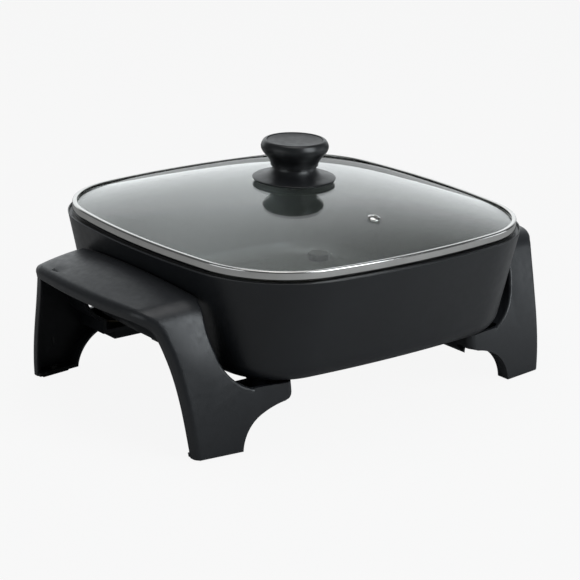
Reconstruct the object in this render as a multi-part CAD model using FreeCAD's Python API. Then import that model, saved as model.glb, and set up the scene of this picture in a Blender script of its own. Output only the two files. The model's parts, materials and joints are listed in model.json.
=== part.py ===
import FreeCAD, Part
import math
import os

# Square electric skillet: a cast pan with a heating element under its floor,
# two moulded arch frames that are both handle and legs, and a lift-off
# glass lid with a steel rim and a knob.
# Millimetres. X runs from handle to handle, the front is towards -Y, Z is up.
# The origin is on the table under the middle of the pan.

V = FreeCAD.Vector

# Pan
PAN_BOTTOM_Z = 49.2
PAN_BOTTOM_HALF = 135.4
PAN_BOTTOM_CORNER = 53.0
PAN_BOTTOM_BULGE = 1000.0
PAN_TOP_Z = 134.6
PAN_TOP_HALF = 159.2
PAN_TOP_CORNER = 85.0
PAN_TOP_BULGE = 617.0
PAN_HEEL_RADIUS = 20.0
PAN_FLOOR = 5.0
PAN_WALL = 4.3
PAN_INNER_HEEL = 16.0
HEEL_STEPS = 4
RIM_BEAD_Z = 120.0
WALL_SLOPE = (PAN_TOP_HALF - PAN_BOTTOM_HALF) / (PAN_TOP_Z - PAN_BOTTOM_Z)
SEAT_Z = 132.8
SEAT_HALF = 157.0
MOUTH_HALF = 151.4

# Heating element, cast into a rib under the floor
ELEMENT_Z = 45.2
ELEMENT_HALF = 4.0
ELEMENT_FLAT = 2.2
RIB_HALF = 7.0
RIB_BOTTOM_Z = 39.0
LOOP_HALF = 80.0
LOOP_CORNER = 40.0
TAIL_HALF = 17.0
TAIL_BEND = 12.0
RIB_END_X = 116.0
ELEMENT_END_X = 122.0

# Electrical inlet under the right handle
COLLAR_LENGTH = 6.0
COLLAR_RADIUS = 5.0
COLLAR_END_X = ELEMENT_END_X + COLLAR_LENGTH
PIN_RADIUS = 2.4
PIN_ROOT_RADIUS = 1.8
PIN_FROM_X = COLLAR_END_X + 0.6
PIN_END_X = 156.0
PIN_TIP = 1.6
WELL_FROM_X = 100.0
WELL_TO_X = 136.0
WELL_WIDTH = 13.0
WELL_HEIGHT = 10.4
WELL_BORE = 5.2
WELL_BACK = 4.0
WELL_EDGE = 3.0
GUARD_FROM_X = 119.0
GUARD_TO_X = 167.0
GUARD_HALF = 32.0
GUARD_BOTTOM_Z = 31.5
GUARD_TOP_Z = 61.0
GUARD_WALL = 2.4
GUARD_CORNER = 7.0
GUARD_CLEARANCE = 1.5
GUARD_TAB_X = 105.0
GUARD_TAB_Y = 33.0
GUARD_BOSS_RADIUS = 6.0
GUARD_BOSS_Z = 44.0
GUARD_SCREW_RADIUS = 2.0
GUARD_SCREW_HEAD_RADIUS = 3.8
GUARD_SCREW_HEAD_HEIGHT = 2.4
GUARD_SCREW_ROOM = 0.6
TAB_FROM_X = 98.0
TAB_TO_X = 127.0
TAB_Y = (27.0, 39.5)

# Corner bosses that carry the pan on the frames
BOSS_X = 109.0
BOSS_Y = 98.0
BOSS_RADIUS = 9.0
BOSS_TOP_Z = 62.0
ROOT_DEPTH = 1.0
SPACER_HEIGHT = 1.6
SCREW_RADIUS = 2.4
SCREW_DEPTH = 9.0
SCREW_ROOM = 0.4
SCREW_TIP_ROOM = 1.0
SCREW_DOME = (0.7, 0.4)
SCREW_HEAD_RADIUS = 4.8
SCREW_HEAD_HEIGHT = 3.2
WASHER_RADIUS = 6.5
WASHER_HEIGHT = 1.2

# Arch frames, given at an inner and an outer upright plane
ARCH_X = (154.0, 205.0)
ARCH_FOOT = (117.0, 111.3)
ARCH_MIDDLE = (106.0, 97.3)
ARCH_MIDDLE_Z = 60.0
ARCH_SHOULDER = (84.8, 75.3)
ARCH_SHOULDER_Z = (111.8, 108.1)
ARCH_CROWN_Z = (120.1, 109.3)
SHOULDER_RADIUS = 24.0
MIDDLE_PUSH = 1.04
SHOULDER_PUSH = (0.63, 0.9)
ARCH_FROM_X = 84.0
ARCH_TO_X = 216.0
GRIP_FROM_X = 160.0
FRAME_WALL = 3.0
FRAME_LIP = 9.0
FOOT_RETURN = 12.0
FRAME_FOOT_Z = 1.2
WALL_OVERLAP = 0.5
PAN_CLEARANCE = 1.2

# Half depth, top and lowest height of the blocks that cut right through the arch
CUT_Y = 150.0
CUT_TOP_Z = 140.0
CUT_LOW_Z = -5.0

# Outer edge of the arch from a foot to the middle of the grip, as (x, y, z)
# and the tilt in degrees at which the edge turns in, level at the foot
OUTER_EDGE = (
    (177.2, 114.6, 1.2, 0.0),
    (180.6, 107.6, 32.0, 2.0),
    (184.2, 100.0, 64.0, 8.0),
    (188.6, 90.0, 87.0, 22.0),
    (193.2, 81.6, 100.0, 42.0),
    (199.4, 71.0, 106.2, 68.0),
    (203.4, 52.0, 108.6, 84.0),
    (205.4, 26.0, 109.2, 88.0),
    (206.0, 0.0, 109.3, 90.0),
)
EDGE_OUTSIDE = 5.0
EDGE_INSIDE = 18.0

# Leg seen from the front, as (x, z) points: the start, middle and end of each arc
LEG_INNER = ((148.0, 118.0), (154.0, 97.0), (150.6, 76.0), (142.2, 58.4), (126.0, 47.8))
LEG_LOWER = ((90.5, 35.4), (106.0, 33.0), (118.9, 28.0), (131.6, 17.4), (137.2, 1.2))
ARM_END_X = 90.5
ARM_TOP_Z = 47.8
ARM_CORNER = 6.0
ARM_BACK_Y = 77.0
ARM_FACE_Y = 111.0
TRAY_TOP_Z = 40.0
TRAY_END_X = 132.0
SKIRT_END_X = 121.0
SCREW_ACCESS = 8.0
SKIRT_BOTTOM_Z = 30.8
FOOT_PLATE = 3.0

# Rubber feet, pressed into the plate that closes each leg
FOOT_FROM_X = 147.0
FOOT_TO_X = 173.0
FOOT_SET_BACK = 2.5
FOOT_DEPTH = 9.0
FOOT_STEM_X = 160.0
FOOT_STEM_Y = 108.9
FOOT_STEM_RADIUS = 2.2
FOOT_HEAD_RADIUS = 3.0
FOOT_HEAD_HEIGHT = 2.4
FOOT_HEAD_TIP = 1.6

# Lid
LID_HALF = 155.0
LID_CORNER = 78.0
LID_BULGE = 600.0
GLASS_HALF = 153.5
GLASS_EDGE_Z = 140.6
GLASS_CROWN_Z = 165.0
GLASS_THICK = 3.6
GLASS_POWER = 2.2
GLASS_SQUARENESS = 3.4
GLASS_STEPS = 4
GLASS_HOLE_RADIUS = 4.0
RIM_TOP_Z = 142.9
RIM_BOTTOM_Z = 136.0
RIM_SKIN = 0.9
RIM_SLACK = 0.45
RIM_LIP = 3.6

# Steam vent, a rivet through the glass near the front
VENT_X = 2.0
VENT_Y = -97.3
VENT_HOLE_RADIUS = 3.2
VENT_BORE = 2.2
VENT_FLANGE_RADIUS = 5.2
VENT_FLANGE = 0.9
VENT_DOME = 0.5
VENT_COLLAR_RADIUS = 4.4
VENT_COLLAR = 0.7

# Knob and what holds it
GASKET_RADIUS = 12.0
GASKET_THICK = 1.2
GASKET_GAP = 0.1
FLANGE_HUB_RADIUS = 14.0
FLANGE_TOP_Z = 177.4
FLANGE_NECK = 17.2
FLANGE_FLARE = ((18.4, 174.0), (21.8, 171.2), (32.7, 168.1), (33.6, 167.3))
FLANGE_LIP = ((32.9, 166.4), (31.2, 166.6))
FLANGE_ROOF_Z = 168.0
HEAD_NECK = 19.2
HEAD_TOP_Z = 198.6
HEAD_CURVE = ((20.0, 181.0), (23.2, 185.4), (26.4, 189.8), (27.3, 193.4), (26.2, 196.6), (23.6, 198.6))
CAP_RADIUS = 22.6
CAP_SEAT_Z = 195.6
CAP_RIM_Z = 198.0
CAP_DISH = ((11.0, 197.0), (0.0, 196.7))
INSERT_RADIUS = 4.6
INSERT_FROM_Z = 179.0
INSERT_TO_Z = 191.0
KNOB_SCREW_RADIUS = 2.5
KNOB_SCREW_END_Z = 188.0


def rounded_square(half, corner, bulge, z):
    """Closed wire of four shallow side arcs and four corner arcs, all tangent."""
    lift = bulge - half
    reach = bulge - corner
    centre = (math.sqrt(2.0 * reach ** 2 - lift ** 2) - lift) / 2.0
    turn = math.atan2(centre, centre + lift)

    def arc(cx, cy, radius, start, end, quarter):
        points = []
        for angle in (start, (start + end) / 2.0, end):
            x = cx + radius * math.sin(angle)
            y = cy + radius * math.cos(angle)
            for step in range(quarter):
                x, y = y, -x
            points.append(V(x, y, z))
        return Part.Arc(*points).toShape()

    edges = []
    for quarter in range(4):
        edges.append(arc(0.0, -lift, bulge, -turn, turn, quarter))
        edges.append(arc(centre, centre, corner, turn, math.pi / 2.0 - turn, quarter))
    return Part.Wire(edges)


def squared_loft(sections):
    """Solid with straight walls through rounded squares (half, corner, bulge, z)."""
    return Part.makeLoft([rounded_square(*section) for section in sections], True, True)


def squared_prism(half, corner, bulge, z0, z1):
    """Upright solid on a rounded square."""
    return Part.Face(rounded_square(half, corner, bulge, z0)).extrude(V(0, 0, z1 - z0))


def heel_sections(half, corner, bulge, z, radius):
    """Rounded squares that turn from a flat floor up into the pan's sloping wall."""
    turn = math.pi / 2.0 - math.atan(WALL_SLOPE)
    reach = radius * math.tan(turn / 2.0)
    sections = []
    for step in range(HEEL_STEPS + 1):
        angle = turn * step / HEEL_STEPS
        inset = reach - radius * math.sin(angle)
        rise = radius * (1.0 - math.cos(angle))
        sections.append((half - inset, corner - inset, bulge, z + rise))
    return sections


def block(x0, x1, y0, y1, z0, z1):
    """Box between two corners."""
    return Part.makeBox(x1 - x0, y1 - y0, z1 - z0, V(x0, y0, z0))


def rod(radius, x, y, z0, z1):
    """Upright cylinder."""
    return Part.makeCylinder(radius, z1 - z0, V(x, y, z0))


def rod_along_x(radius, y, z, x0, x1):
    """Cylinder lying along X."""
    return Part.makeCylinder(radius, x1 - x0, V(x0, y, z), V(1, 0, 0))


def both_sides(shape):
    """A shape joined with its mirror image across the XZ plane."""
    return shape.fuse(shape.mirror(V(0, 0, 0), V(0, 1, 0)))


def corners():
    """Signs of the four corners of the skillet."""
    return [(sx, sy) for sx in (-1, 1) for sy in (-1, 1)]


def pan_outside(clearance):
    """Outer form of the pan, grown sideways and down by a clearance."""
    half = PAN_BOTTOM_HALF + clearance
    low = PAN_BOTTOM_Z - clearance
    sections = heel_sections(half, PAN_BOTTOM_CORNER, PAN_BOTTOM_BULGE, low, PAN_HEEL_RADIUS)
    sections.append((PAN_TOP_HALF + clearance, PAN_TOP_CORNER, PAN_TOP_BULGE, PAN_TOP_Z))
    return squared_loft(sections)


def arch_section(x, inset):
    """Closed upright outline of the arch at one x: leg, crown, leg and base."""
    share = (x - ARCH_X[0]) / (ARCH_X[1] - ARCH_X[0])

    def between(pair):
        return pair[0] + share * (pair[1] - pair[0])

    foot = between(ARCH_FOOT) - inset
    middle = between(ARCH_MIDDLE) - MIDDLE_PUSH * inset
    shoulder = between(ARCH_SHOULDER) - SHOULDER_PUSH[0] * inset
    shoulder_z = between(ARCH_SHOULDER_Z) - SHOULDER_PUSH[1] * inset
    crown_z = between(ARCH_CROWN_Z) - inset

    def arc(*points):
        return Part.Arc(*[V(x, y, z) for y, z in points]).toShape()

    return Part.Wire([
        arc((-foot, 0), (-middle, ARCH_MIDDLE_Z), (-shoulder, shoulder_z)),
        arc((-shoulder, shoulder_z), (0, crown_z), (shoulder, shoulder_z)),
        arc((shoulder, shoulder_z), (middle, ARCH_MIDDLE_Z), (foot, 0)),
        Part.makeLine(V(x, foot, 0), V(x, -foot, 0)),
    ])


def arch_solid(inset):
    """Filled arch with rounded shoulders, set in from the outer skin."""
    sections = [arch_section(x, inset) for x in (ARCH_FROM_X, ARCH_TO_X)]
    solid = Part.makeLoft(sections, True, True)
    shoulders = []
    for edge in solid.Edges:
        box = edge.BoundBox
        if box.XLength > 100 and box.ZMin > 80:
            shoulders.append(edge)
    return solid.makeFillet(SHOULDER_RADIUS - inset, shoulders)


def shifted(points, distance):
    """Points of an open line moved to its left by a distance."""
    moved = []
    last = len(points) - 1
    for index, point in enumerate(points):
        before = points[max(index - 1, 0)]
        after = points[min(index + 1, last)]
        run = math.hypot(after[0] - before[0], after[1] - before[1])
        across = ((before[1] - after[1]) / run, (after[0] - before[0]) / run)
        moved.append((point[0] + across[0] * distance, point[1] + across[1] * distance))
    return moved


def leg_prism(inset):
    """Inner and lower outline of the frame, pushed right through the arch."""
    inner = shifted(LEG_INNER, inset)
    lower = shifted(LEG_LOWER, inset)
    lower[0] = (ARM_END_X + inset, LEG_LOWER[0][1] + inset)
    roof = CUT_TOP_Z - 5.0

    def at(x, z):
        return V(x, -CUT_Y, z)

    def arcs(points):
        places = [at(*point) for point in points]
        starts = range(0, len(places) - 2, 2)
        return [Part.Arc(*places[start:start + 3]).toShape() for start in starts]

    def lines(points):
        return Part.makePolygon([at(*point) for point in points]).Edges

    foot_z = lower[-1][1]
    outer = [lower[-1], (ARCH_TO_X, foot_z), (ARCH_TO_X, roof), (inner[0][0], roof), inner[0]]
    end = [inner[-1], (ARM_END_X + inset, inner[-1][1]), lower[0]]
    outline = lines(outer) + arcs(inner) + lines(end) + arcs(lower)
    return Part.Face(Part.Wire(outline)).extrude(V(0, 2 * CUT_Y, 0))


def outer_edge_line(depth):
    """Curve that follows the arch's outer edge at a depth under its skin."""
    half = []
    for x, y, z, tilt in OUTER_EDGE:
        turn = math.radians(tilt)
        half.append(V(x, -y + depth * math.cos(turn), z - depth * math.sin(turn)))
    other = [V(point.x, -point.y, point.z) for point in reversed(half[:-1])]
    spline = Part.BSplineCurve()
    spline.interpolate(half + other)
    return spline.toShape()


def outside_edge(inset):
    """Everything past the arch's turned-in outer edge."""
    sheet = Part.makeRuledSurface(outer_edge_line(-EDGE_OUTSIDE), outer_edge_line(EDGE_INSIDE))
    sheet.translate(V(-inset, 0, 0))
    return sheet.extrude(V(60, 0, 0))


def is_arm_corner(edge):
    """True for the short upright edge where an arm's face meets its end."""
    box = edge.BoundBox
    return box.XMax < ARM_END_X + 0.1 and box.ZLength > 10 and box.YLength < 5


def frame_blank():
    """Outer form of the right frame before it is hollowed."""
    blank = arch_solid(0).common(leg_prism(0))
    blank = blank.cut([outside_edge(0), pan_outside(PAN_CLEARANCE)]).Solids[0]
    return blank.makeFillet(ARM_CORNER, [edge for edge in blank.Edges if is_arm_corner(edge)])


def frame_pocket():
    """Space behind the face: one wall in from the skin and from each edge."""
    pocket = arch_solid(FRAME_WALL).common(leg_prism(FRAME_WALL))
    return pocket.cut([outside_edge(FRAME_WALL), pan_outside(PAN_CLEARANCE + FRAME_WALL)])


def frame_gap():
    """Open space under the arch, past the depth of the turned-in edges."""
    grip_side = block(GRIP_FROM_X, ARCH_TO_X, -CUT_Y, CUT_Y, CUT_LOW_Z, CUT_TOP_Z)
    middle = block(ARCH_FROM_X, ARCH_TO_X, -ARM_BACK_Y, ARM_BACK_Y, CUT_LOW_Z, CUT_TOP_Z)
    low_part = block(ARCH_FROM_X, ARCH_TO_X, -CUT_Y, CUT_Y, CUT_LOW_Z, SKIRT_BOTTOM_Z)
    behind_lips = arch_solid(FRAME_LIP).common(grip_side.fuse(middle))
    behind_feet = arch_solid(FOOT_RETURN).common(low_part)
    return behind_lips.fuse(behind_feet)


def arm_tray():
    """Shelf under one corner of the pan with its skirt, at the front."""
    far_y = -CUT_Y
    wall = FRAME_WALL
    under = TRAY_TOP_Z - wall
    shelf = block(ARM_END_X, TRAY_END_X, far_y, -ARM_BACK_Y, under, TRAY_TOP_Z)
    skirt = block(ARM_END_X, SKIRT_END_X, far_y, -ARM_BACK_Y, SKIRT_BOTTOM_Z, TRAY_TOP_Z)
    hollow = block(ARM_END_X + wall, SKIRT_END_X - wall, far_y, -ARM_BACK_Y - wall, 0, under)
    riser = block(TRAY_END_X - wall, TRAY_END_X, far_y, -ARM_BACK_Y, under, ARM_TOP_Z)
    return shelf.fuse([skirt, riser]).cut(hollow)


def foot_plate():
    """Plates that close the bottom of both legs."""
    slab = block(ARCH_FROM_X, ARCH_TO_X, -CUT_Y, CUT_Y, FRAME_FOOT_Z, FRAME_FOOT_Z + FOOT_PLATE)
    channel = arch_solid(FRAME_WALL - WALL_OVERLAP).cut(arch_solid(FOOT_RETURN))
    return slab.common(channel).common(leg_prism(WALL_OVERLAP)).cut(outside_edge(WALL_OVERLAP))


def frame():
    """Right frame: face, turned-in edges, corner shelves and foot plates."""
    body = frame_blank().cut([frame_pocket(), frame_gap()])
    over_x = (ARM_END_X + FRAME_WALL, TRAY_END_X - FRAME_WALL)
    over_tray = block(*over_x, -CUT_Y, CUT_Y, TRAY_TOP_Z, ARM_TOP_Z + ARM_CORNER)
    body = body.cut(over_tray.common(arch_solid(FRAME_WALL)))
    trays = both_sides(arm_tray()).common(arch_solid(FRAME_WALL - WALL_OVERLAP))
    corner = block(ARCH_FROM_X, ARM_END_X + ARM_CORNER, -CUT_Y, -ARM_FACE_Y, CUT_LOW_Z, CUT_TOP_Z)
    trays = trays.cut(both_sides(corner))
    body = body.fuse([trays, foot_plate()]).cut(pan_outside(PAN_CLEARANCE))
    drills = []
    for side in (-1, 1):
        drills.append(rod(SCREW_RADIUS + SCREW_ROOM, BOSS_X, side * BOSS_Y, 0, ARM_TOP_Z))
        drills.append(rod(SCREW_ACCESS, BOSS_X, side * BOSS_Y, 0, TRAY_TOP_Z - FRAME_WALL))
        drills.append(rod(FOOT_STEM_RADIUS, FOOT_STEM_X, side * FOOT_STEM_Y, 0, SKIRT_BOTTOM_Z))
    body = body.cut(drills)
    return max(body.Solids, key=lambda solid: solid.Volume)


def rubber_foot():
    """Front right foot: pad, stem through the plate and a holding head."""
    outline = []
    front = [(FOOT_FROM_X, 0.0), (FOOT_TO_X, 0.0)]
    back = [(FOOT_TO_X, FOOT_DEPTH), (FOOT_FROM_X, FOOT_DEPTH)]
    for x, depth in front + back:
        share = (x - ARCH_X[0]) / (ARCH_X[1] - ARCH_X[0])
        skin_y = ARCH_FOOT[0] + share * (ARCH_FOOT[1] - ARCH_FOOT[0])
        outline.append(V(x, depth + FOOT_SET_BACK - skin_y, 0))
    pad = Part.Face(Part.makePolygon(outline + outline[:1])).extrude(V(0, 0, FRAME_FOOT_Z))
    plate_top = FRAME_FOOT_Z + FOOT_PLATE
    stem = rod(FOOT_STEM_RADIUS, FOOT_STEM_X, -FOOT_STEM_Y, FRAME_FOOT_Z / 2.0, plate_top)
    head_at = V(FOOT_STEM_X, -FOOT_STEM_Y, plate_top)
    head = Part.makeCone(FOOT_HEAD_RADIUS, FOOT_HEAD_TIP, FOOT_HEAD_HEIGHT, head_at)
    return pad.fuse([stem, head])


def element_path(from_x):
    """Centre line of the element: a rounded square loop with two tails to the right."""
    z = ELEMENT_Z
    near = LOOP_HALF - LOOP_CORNER
    bend_x = LOOP_HALF + TAIL_BEND
    bend_y = TAIL_HALF + TAIL_BEND
    k = math.sqrt(0.5)

    def line(x0, y0, x1, y1):
        return Part.makeLine(V(x0, y0, z), V(x1, y1, z))

    def arc(cx, cy, radius, dx0, dy0, dxm, dym, dx1, dy1):
        ways = ((dx0, dy0), (dxm, dym), (dx1, dy1))
        return Part.Arc(*[V(cx + radius * dx, cy + radius * dy, z) for dx, dy in ways]).toShape()

    return Part.Wire([
        line(from_x, TAIL_HALF, bend_x, TAIL_HALF),
        arc(bend_x, bend_y, TAIL_BEND, 0, -1, -k, -k, -1, 0),
        line(LOOP_HALF, bend_y, LOOP_HALF, near),
        arc(near, near, LOOP_CORNER, 1, 0, k, k, 0, 1),
        line(near, LOOP_HALF, -near, LOOP_HALF),
        arc(-near, near, LOOP_CORNER, 0, 1, -k, k, -1, 0),
        line(-LOOP_HALF, near, -LOOP_HALF, -near),
        arc(-near, -near, LOOP_CORNER, -1, 0, -k, -k, 0, -1),
        line(-near, -LOOP_HALF, near, -LOOP_HALF),
        arc(near, -near, LOOP_CORNER, 0, -1, k, -k, 1, 0),
        line(LOOP_HALF, -near, LOOP_HALF, -bend_y),
        arc(bend_x, -bend_y, TAIL_BEND, -1, 0, -k, k, 0, 1),
        line(bend_x, -TAIL_HALF, from_x, -TAIL_HALF),
    ])


def bar_along_element(section, from_x):
    """Bar with a section of (across, z) corners that follows the element's centre line."""
    corners_at = [V(from_x, TAIL_HALF + across, z) for across, z in section]
    start = Part.makePolygon(corners_at + corners_at[:1])
    return element_path(from_x).makePipeShell([start], True, False)


def element_section():
    """Six-sided section of the element, pressed flat above and below."""
    half = [(ELEMENT_HALF, 0.0), (ELEMENT_FLAT, ELEMENT_HALF), (-ELEMENT_FLAT, ELEMENT_HALF)]
    other = [(-across, -rise) for across, rise in half]
    return [(across, ELEMENT_Z + rise) for across, rise in half + other]


def heating_element():
    """Sheathed heating element inside the rib."""
    return bar_along_element(element_section(), ELEMENT_END_X)


def pan_inside():
    """The pan's cooking space with its rounded heel and the lid's seat."""
    floor_z = PAN_BOTTOM_Z + PAN_FLOOR
    floor_half = PAN_BOTTOM_HALF + WALL_SLOPE * PAN_FLOOR - PAN_WALL
    bead_half = PAN_BOTTOM_HALF + WALL_SLOPE * (RIM_BEAD_Z - PAN_BOTTOM_Z) - PAN_WALL
    sections = heel_sections(floor_half, PAN_BOTTOM_CORNER, PAN_BOTTOM_BULGE, floor_z, PAN_INNER_HEEL)
    sections.append((bead_half, PAN_TOP_CORNER - PAN_WALL, PAN_TOP_BULGE, RIM_BEAD_Z))
    sections.append((MOUTH_HALF, LID_CORNER - PAN_WALL, LID_BULGE, SEAT_Z))
    seat = squared_prism(SEAT_HALF, LID_CORNER, LID_BULGE, SEAT_Z, PAN_TOP_Z + 2.0)
    return squared_loft(sections).fuse(seat)


def pan():
    """Cast pan with corner bosses, the element's rib and two guard bosses."""
    in_floor = PAN_BOTTOM_Z + ROOT_DEPTH
    rib = [(side * RIB_HALF, z) for side, z in ((-1, in_floor), (-1, RIB_BOTTOM_Z))]
    rib += [(-across, z) for across, z in reversed(rib)]
    studs = [bar_along_element(rib, RIB_END_X)]
    boss_bottom = TRAY_TOP_Z + SPACER_HEIGHT
    for sx, sy in corners():
        studs.append(rod(BOSS_RADIUS, sx * BOSS_X, sy * BOSS_Y, boss_bottom, BOSS_TOP_Z))
    for side in (-1, 1):
        studs.append(rod(GUARD_BOSS_RADIUS, GUARD_TAB_X, side * GUARD_TAB_Y, GUARD_BOSS_Z, in_floor))
    holes = [pan_inside(), bar_along_element(element_section(), ELEMENT_END_X)]
    hole_top = boss_bottom + SCREW_DEPTH
    for sx, sy in corners():
        holes.append(rod(SCREW_RADIUS, sx * BOSS_X, sy * BOSS_Y, boss_bottom - 1.0, hole_top))
    hole_from = GUARD_BOSS_Z - 1.0
    hole_top = PAN_BOTTOM_Z - GUARD_SCREW_ROOM
    for side in (-1, 1):
        holes.append(rod(GUARD_SCREW_RADIUS, GUARD_TAB_X, side * GUARD_TAB_Y, hole_from, hole_top))
        holes.append(rod_along_x(COLLAR_RADIUS, side * TAIL_HALF, ELEMENT_Z, ELEMENT_END_X, PIN_END_X))
    return pan_outside(0).fuse(studs).cut(holes)


def terminal_pins():
    """Two round pins with bevelled tips and thinner roots inside the collars."""
    pins = []
    for side in (-1, 1):
        y = side * TAIL_HALF
        root = rod_along_x(PIN_ROOT_RADIUS, y, ELEMENT_Z, ELEMENT_END_X, PIN_FROM_X)
        shank = rod_along_x(PIN_RADIUS, y, ELEMENT_Z, PIN_FROM_X, PIN_END_X - PIN_TIP)
        tip_at = V(PIN_END_X - PIN_TIP, y, ELEMENT_Z)
        tip = Part.makeCone(PIN_RADIUS, PIN_RADIUS / 2.0, PIN_TIP, tip_at, V(1, 0, 0))
        pins.append(shank.fuse([root, tip]))
    return Part.Compound(pins)


def terminal_collars():
    """Ceramic collars that seal the element's ends round the pins."""
    rings = []
    for side in (-1, 1):
        y = side * TAIL_HALF
        collar = rod_along_x(COLLAR_RADIUS, y, ELEMENT_Z, ELEMENT_END_X, COLLAR_END_X)
        rings.append(collar.cut(rod_along_x(PIN_ROOT_RADIUS, y, ELEMENT_Z, ELEMENT_END_X - 1, PIN_END_X)))
    return Part.Compound(rings)


def long_edges(shape):
    """Edges of a short block that run along X."""
    return [edge for edge in shape.Edges if edge.BoundBox.XLength > 30]


def sensor_well():
    """Block against the pan's floor with the bore for a thermostat's stem."""
    top = PAN_BOTTOM_Z
    half = WELL_WIDTH / 2.0
    body = block(WELL_FROM_X, WELL_TO_X, -half, half, top - WELL_HEIGHT, top)
    low_edges = [edge for edge in long_edges(body) if edge.BoundBox.ZMax < top - 1]
    body = body.makeFillet(WELL_EDGE, low_edges).cut(pan_outside(0))
    bore_z = top - WELL_HEIGHT / 2.0
    return body.cut(rod_along_x(WELL_BORE / 2.0, 0, bore_z, WELL_FROM_X + WELL_BACK, WELL_TO_X + 1.0))


def socket_guard():
    """Shroud round the inlet, open towards the right, on two tabs."""
    wall = GUARD_WALL
    inner = GUARD_HALF - wall
    low = GUARD_BOTTOM_Z
    top = GUARD_TOP_Z
    shell = block(GUARD_FROM_X, GUARD_TO_X, -GUARD_HALF, GUARD_HALF, low, top)
    shell = shell.makeFillet(GUARD_CORNER, long_edges(shell))
    hollow = block(GUARD_FROM_X - 1, GUARD_TO_X + 1, -inner, inner, low + wall, top - wall)
    hollow = hollow.makeFillet(GUARD_CORNER - wall, long_edges(hollow))
    shell = shell.cut([hollow, pan_outside(GUARD_CLEARANCE)])
    inside = block(GUARD_FROM_X - 0.1, GUARD_TO_X, -inner, inner, 0, 100)
    for side in (-1, 1):
        reach = sorted(side * y for y in TAB_Y)
        tab = block(TAB_FROM_X, TAB_TO_X, *reach, GUARD_BOSS_Z - wall, GUARD_BOSS_Z)
        hole = rod(GUARD_SCREW_RADIUS + 0.2, GUARD_TAB_X, side * GUARD_TAB_Y, 0, 60)
        shell = shell.fuse(tab.cut([inside, hole]))
    return shell


def screw(x, y, head_z, tip_z, radius, head_radius, head_height):
    """Upright screw with its domed head down."""
    flat, dome = SCREW_DOME
    dome_height = head_height * dome
    crown = Part.makeCone(head_radius * flat, head_radius, dome_height, V(x, y, head_z))
    head = rod(head_radius, x, y, head_z + dome_height, head_z + head_height)
    shank = rod(radius, x, y, head_z + head_height, tip_z)
    return crown.fuse([head, shank])


def frame_screws():
    """Four screws, up through the frame shelves into the pan's bosses."""
    head_z = TRAY_TOP_Z - FRAME_WALL - WASHER_HEIGHT - SCREW_HEAD_HEIGHT
    tip = TRAY_TOP_Z + SPACER_HEIGHT + SCREW_DEPTH - SCREW_TIP_ROOM
    sizes = (SCREW_RADIUS, SCREW_HEAD_RADIUS, SCREW_HEAD_HEIGHT)
    return Part.Compound([screw(sx * BOSS_X, sy * BOSS_Y, head_z, tip, *sizes) for sx, sy in corners()])


def corner_rings(outer, inner, z0, z1):
    """One ring at each corner boss."""
    made = []
    for sx, sy in corners():
        ring = rod(outer, sx * BOSS_X, sy * BOSS_Y, z0, z1)
        made.append(ring.cut(rod(inner, sx * BOSS_X, sy * BOSS_Y, z0 - 1, z1 + 1)))
    return Part.Compound(made)


def frame_washers():
    """Steel washers under the screw heads."""
    top = TRAY_TOP_Z - FRAME_WALL
    return corner_rings(WASHER_RADIUS, SCREW_RADIUS, top - WASHER_HEIGHT, top)


def heat_spacers():
    """Heat-resisting rings between the bosses and the shelves."""
    return corner_rings(BOSS_RADIUS, SCREW_RADIUS, TRAY_TOP_Z, TRAY_TOP_Z + SPACER_HEIGHT)


def guard_screws():
    """Two screws that hold the inlet guard."""
    made = []
    head_z = GUARD_BOSS_Z - GUARD_WALL - GUARD_SCREW_HEAD_HEIGHT
    tip_z = PAN_BOTTOM_Z - GUARD_SCREW_ROOM - SCREW_ROOM
    sizes = (GUARD_SCREW_RADIUS, GUARD_SCREW_HEAD_RADIUS, GUARD_SCREW_HEAD_HEIGHT)
    for side in (-1, 1):
        made.append(screw(GUARD_TAB_X, side * GUARD_TAB_Y, head_z, tip_z, *sizes))
    return Part.Compound(made)


def glass_height(x, y):
    """Height of the glass's upper face: round at the crown, squarer towards the rim."""
    power = GLASS_SQUARENESS
    squared = (abs(x) ** power + abs(y) ** power) ** (1.0 / power) / GLASS_HALF
    share = min(squared, 1.0) ** 1.5
    radius = (1.0 - share) * math.hypot(x, y) / GLASS_HALF + share * squared
    return GLASS_CROWN_Z - (GLASS_CROWN_Z - GLASS_EDGE_Z) * radius ** GLASS_POWER


def dome_face():
    """Smooth sheet through the glass's upper face, wider than the glass."""
    reach = GLASS_HALF + 10.0
    places = [reach * step / GLASS_STEPS for step in range(-GLASS_STEPS, GLASS_STEPS + 1)]
    rows = [[V(x, y, glass_height(x, y)) for y in places] for x in places]
    sheet = Part.BSplineSurface()
    sheet.interpolate(rows)
    return sheet.toShape()


def vent_axis():
    """Place and outward direction of the vent on the glass."""
    slope = glass_height(VENT_X, VENT_Y + 0.5) - glass_height(VENT_X, VENT_Y - 0.5)
    return V(VENT_X, VENT_Y, glass_height(VENT_X, VENT_Y)), V(0, -slope, 1).normalize()


def lid_glass():
    """Domed tempered glass with holes for the knob screw and the vent."""
    slab = dome_face().extrude(V(0, 0, -GLASS_THICK))
    inset = LID_HALF - GLASS_HALF
    sizes = (GLASS_HALF, LID_CORNER - inset, LID_BULGE - inset)
    outline = squared_prism(*sizes, GLASS_EDGE_Z - 40.0, GLASS_CROWN_Z + 5.0)
    point, out = vent_axis()
    vent = Part.makeCylinder(VENT_HOLE_RADIUS, 30, point - out * 15, out)
    knob_hole = rod(GLASS_HOLE_RADIUS, 0, 0, GLASS_CROWN_Z - 15.0, GLASS_CROWN_Z + 5.0)
    return outline.common(slab).cut([knob_hole, vent])


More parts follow.
